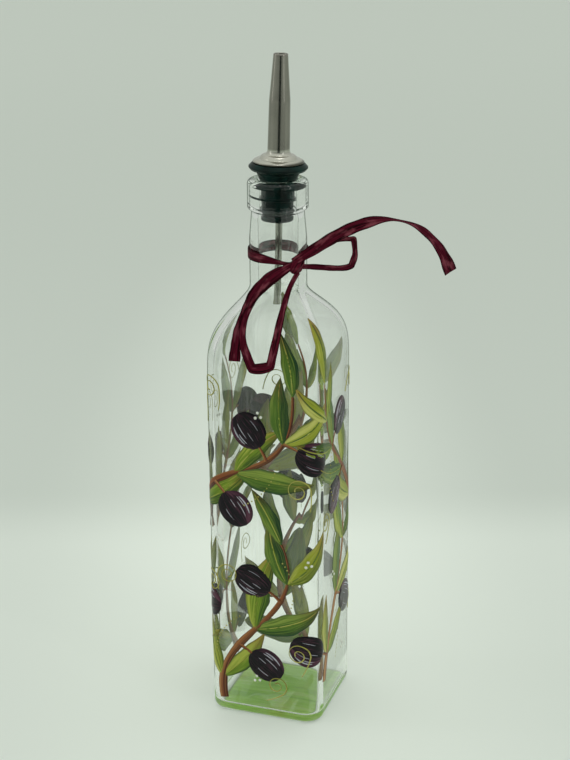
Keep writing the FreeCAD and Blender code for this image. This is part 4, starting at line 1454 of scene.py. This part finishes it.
    def sprig(self, points: tuple[tuple[float, float], ...], nodes: tuple[tuple, ...]) -> None:
        """A curved stem with opposite leaves, a leaf at its tip, and fruit on short stalks.

        Args:
            points: Stem points of the flat drawing, from the thick end.
            nodes: (share along the stem, leaf pair length or 0, fruit side -1, 0 or 1) in order.
        """
        control, t = np.array(points, float), np.linspace(0, 1, 90)
        knots, degree = np.linspace(0, 1, len(control)), min(3, len(control) - 1)
        line = beside(*(np.polyval(np.polyfit(knots, control[:, k], degree), t) for k in (0, 1)))
        self.stroke(Paint.WOOD, line, np.linspace(2.3, 0.6, 90) * (1 + 0.14 * np.sin(t * 21)), 0.24, 9)
        flow = np.gradient(line, axis=0)
        headings = np.degrees(np.arctan2(flow[:, 1], flow[:, 0]))
        hanging = []
        for order, (share, length, fruit_side) in enumerate(nodes):
            k = min(int(share * 89), 88)
            for side in (-1, 1) if length else ():
                spread = side * float(self.chance.uniform(34, 52))
                size = length * float(self.chance.uniform(0.88, 1.1))
                self.leaf(self.pots[(order + (side > 0)) % 3], line[k], headings[k] + spread, size,
                          size * float(self.chance.uniform(0.25, 0.30)), -spread * float(self.chance.uniform(0.5, 0.9)))
            if fruit_side:
                hanging.append((line[k], headings[k], fruit_side))
        self.leaf(self.pots[len(nodes) % 3], line[-1], headings[-1], 30.0, 8.0, 14.0)
        for start, heading, side in hanging:
            stalk = self.arc(start, heading + side * 75, 9.0, side * 15, 12)
            self.stroke(Paint.WOOD, stalk, np.linspace(0.9, 0.5, 12), 0.2, 5)
            tilt = heading + side * 90
            self.fruit(stalk[-1] + 7.4 * ray(tilt), tilt, *self.fruit_size)

    def compose(self) -> None:
        """Set out the whole drawing: sprigs first, then scrolls, strings of beads and groups of dots."""
        for points, nodes in (
            (((-20, 8), (-12, 38), (8, 62), (10, 94)),
             ((0.12, 34, 0), (0.34, 0, -1), (0.48, 40, 0), (0.70, 0, 1), (0.82, 36, 0))),
            (((-34, 100), (-20, 124), (4, 136), (16, 168)),
             ((0.10, 34, 0), (0.30, 0, -1), (0.44, 38, 0), (0.66, 0, 1), (0.80, 34, -1))),
            (((34, 20), (48, 52), (62, 78), (60, 112)), ((0.12, 36, 1), (0.42, 40, -1), (0.74, 36, 0))),
            (((78, 92), (62, 122), (44, 140), (34, 172)),
             ((0.10, 36, 0), (0.34, 36, 1), (0.64, 34, -1), (0.85, 28, 0))),
            (((92, 10), (112, 36), (112, 66), (96, 96)),
             ((0.10, 38, 0), (0.36, 38, -1), (0.64, 38, 1), (0.84, 30, 0))),
            (((128, 100), (112, 122), (100, 146), (104, 176)), ((0.14, 38, 1), (0.46, 38, -1), (0.76, 32, 0))),
            (((146, 14), (162, 46), (158, 78), (140, 104)), ((0.12, 38, 1), (0.44, 38, -1), (0.76, 34, 0))),
            (((178, 96), (160, 122), (150, 146), (158, 176)), ((0.12, 38, 0), (0.36, 36, -1), (0.66, 36, 1))),
        ):
            self.sprig(points, nodes)
        for start, angle, size, turns, hand in (
            ((20, 26), 60, 9, 1.6, 1), ((-22, 66), 100, 8, 1.7, -1), ((24, 112), 80, 9, 1.5, 1),
            ((-20, 158), 80, 9, 1.8, 1), ((36, 92), 50, 8, 1.6, 1), ((74, 40), 90, 8, 1.5, -1),
            ((66, 158), 60, 9, 1.6, -1), ((88, 70), 90, 9, 1.7, 1), ((126, 40), 70, 9, 1.6, -1),
            ((122, 150), 100, 8, 1.5, 1), ((140, 60), 80, 8, 1.6, 1), ((176, 60), 95, 9, 1.7, -1),
            ((138, 160), 70, 9, 1.6, -1), ((180, 150), 80, 8, 1.5, 1), ((2, 10), 20, 8, 1.5, 1),
        ):
            self.scroll(start, angle, size * 1.35, turns, hand)
        for start, angle, length, bend in (
            ((14, 60), 70, 26, 60), ((-24, 34), 80, 24, -50), ((-8, 112), 30, 28, 50), ((52, 24), 60, 26, 60),
            ((46, 110), 120, 26, -60), ((104, 110), 60, 26, 60), ((160, 100), 90, 26, 60), ((98, 30), 90, 24, -60),
        ):
            for x, y in self.arc(np.array(start, float), angle, length, bend, 14):
                self.bead(Paint.GOLD, (x, y), 0.38)
        for x, y in ((-4, 20), (-22, 92), (22, 84), (-2, 156), (46, 70), (62, 24), (100, 66), (124, 90), (150, 30),
                     (170, 150)):
            for dx, dy in ((0, 0), (2.6, 0.5), (1.0, 2.5)):
                self.bead(Paint.DOT, (x + dx, y + dy), 0.72)

    def build(self) -> None:
        """Lay every stroke and make one piece for each pot of paint."""
        self.compose()
        for paint, shells in self.shells.items():
            finishes = [enamel.material() for enamel in (ENAMELS[paint], ENAMELS[paint].seen_from_behind())]
            stand_for(Shell.joined(shells).piece("painted_" + paint.value, finishes))


# ---------------------------------------------------------------- studio


@dataclass
class Studio:
    """The camera, a pale paper floor and soft light."""

    azimuth: float = 19.08
    distance: float = 702.6
    height: float = 409.7
    pitch: float = 19.185
    roll: float = -0.462
    lens: float = 75.0
    shift: float = 0.0075
    floor_radius: float = 150000.0
    paper: StudioFloor = StudioFloor()
    horizon: Colour = (0.56, 0.592, 0.553)
    zenith: Colour = (0.82, 0.850, 0.798)
    before: Colour = (0.29, 0.308, 0.287)

    def camera(self) -> None:
        """The camera: it stands round the object by its azimuth and looks down by its pitch."""
        az, pitch = math.radians(self.azimuth), math.radians(self.pitch)
        back = Vector((math.sin(az) * math.cos(pitch), -math.cos(az) * math.cos(pitch), math.sin(pitch)))
        right = Vector((math.cos(az), math.sin(az), 0.0))
        turned_view = Matrix((right, back.cross(right), back)).transposed().to_4x4()
        data = bpy.data.cameras.new("camera")
        data.lens = self.lens
        data.sensor_width = 36.0
        data.shift_x = self.shift
        data.clip_start, data.clip_end = 0.01, 500.0
        made = linked("camera", data)
        place = Vector((self.distance * math.sin(az), -self.distance * math.cos(az), self.height)) * METRE
        made.matrix_world = Matrix.Translation(place) @ turned_view @ Matrix.Rotation(math.radians(self.roll), 4, "Z")
        bpy.context.scene.camera = made

    def floor(self) -> None:
        """A wide disc of paper: rings of points, each radius a power of its share."""
        radius = self.floor_radius * np.linspace(0.08, 1, 28)[:, None] ** 5
        angle = np.linspace(0, 2 * math.pi, 96, endpoint=False)[None, :]
        top = beside(radius * np.cos(angle), radius * np.sin(angle), -0.02)
        shell = Shell.of_rings(np.concatenate([top, top[::-1] - np.array([0, 0, 4.0])]))
        shell.piece("paper_floor", [self.paper.material(math.radians(self.azimuth))])

    def flag(self, name: str, near: float, far: float, half_turn: float, low: float, high: float) -> None:
        """A black sheet in front of the object that only reflections meet, a painted reflection that darkens what the
        steel, plastic and glass reflect: a block bent round the axis.

        Args:
            name: Its name.
            near: Its nearer side, from the axis.
            far: Its farther side.
            half_turn: How far it reaches to each side, in degrees.
            low: Its lower side.
            high: Its upper side.
        """
        turn = math.radians(self.azimuth - 90) + np.radians(np.linspace(-half_turn, half_turn, 33))[:, None]
        reach, height = np.array([near, far, far, near]), np.array([low, low, high, high])
        shell = Shell.of_rings(beside(reach * np.cos(turn), reach * np.sin(turn), height))
        made = shell.piece(name, [DarkPlastic(name).material()])
        made.visible_camera = made.visible_diffuse = made.visible_shadow = False

    def lamp(self, name: str, place: Point, target: Point, size: tuple[float, float], power: float) -> None:
        """A soft rectangular lamp.

        Args:
            name: Its name.
            place: Where it stands, in metres.
            target: What it points at, in metres.
            size: Width and height, in metres.
            power: Watts.
        """
        data = bpy.data.lights.new(name, "AREA")
        data.shape = "RECTANGLE"
        data.size, data.size_y = size
        data.energy = power
        made = linked(name, data)
        made.location = place
        made.rotation_euler = (Vector(target) - Vector(place)).to_track_quat("-Z", "Y").to_euler()

    def world(self) -> None:
        """Soft surrounding light, brightest overhead and dimmest low down in front of the object."""
        world = bpy.data.worlds.new("studio_air")
        bpy.context.scene.world = world
        world.use_nodes = True
        graph = Graph("studio_air", world.node_tree)
        x, y, z = graph.axes(graph.node("ShaderNodeTexCoord", out="Generated"))
        az = math.radians(self.azimuth)
        front = x * math.sin(az) - y * math.cos(az)
        share = front.step(0.25, 0.95) * (1 - z.step(0.25, 0.75))
        light = graph.blend(share, graph.blend(z.step(0.2, 0.95), self.horizon, self.zenith), self.before)
        graph.node("ShaderNodeOutputWorld", None, {0: graph.node("ShaderNodeBackground", None, {0: light, 1: 1.0})})

    def build(self) -> None:
        """Set up light and floor."""
        self.floor()
        self.world()
        # painted reflection: black sheets that only reflections meet, one standing in front and one lying on the floor
        # far in front
        self.flag("dark_reflection_card", 500.0, 505.0, 12.5, 1.0, 420.0)
        self.flag("dark_reflection_mat", 980.0, 1320.0, 65.0, 0.5, 1.5)
        self.lamp("overhead", (0.05, 0.10, 1.25), (0, 0, 0.1), (0.34, 0.34), 0.8)
        self.lamp("left_panel", (-0.85, -0.25, 0.60), (0, 0, 0.15), (0.12, 0.9), 0.4)
        self.lamp("right_panel", (0.80, -0.35, 0.60), (0, 0, 0.15), (0.10, 0.9), 0.4)
        scene = bpy.context.scene
        scene.view_settings.view_transform = "Standard"
        scene.view_settings.look = "None"
        scene.view_settings.exposure = 0.0


def main() -> None:
    """Build every piece in order."""
    logging.basicConfig(level=logging.INFO, format="%(name)s: %(message)s")
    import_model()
    studio = Studio()
    studio.camera()
    bow = Bow()
    raffia = bow.finish.material()
    for strip in bow.strips:
        strip.build(raffia)
    bow.band(raffia)
    bow.knot(raffia)
    bottle = Bottle()
    bottle.build()
    BasePaint(bottle).build()
    pourer = Pourer()
    pourer.stopper()
    pourer.spout()
    pourer.tube()
    Ornament(bottle.outer).build()
    studio.build()


if __name__ == "__main__":
    main()
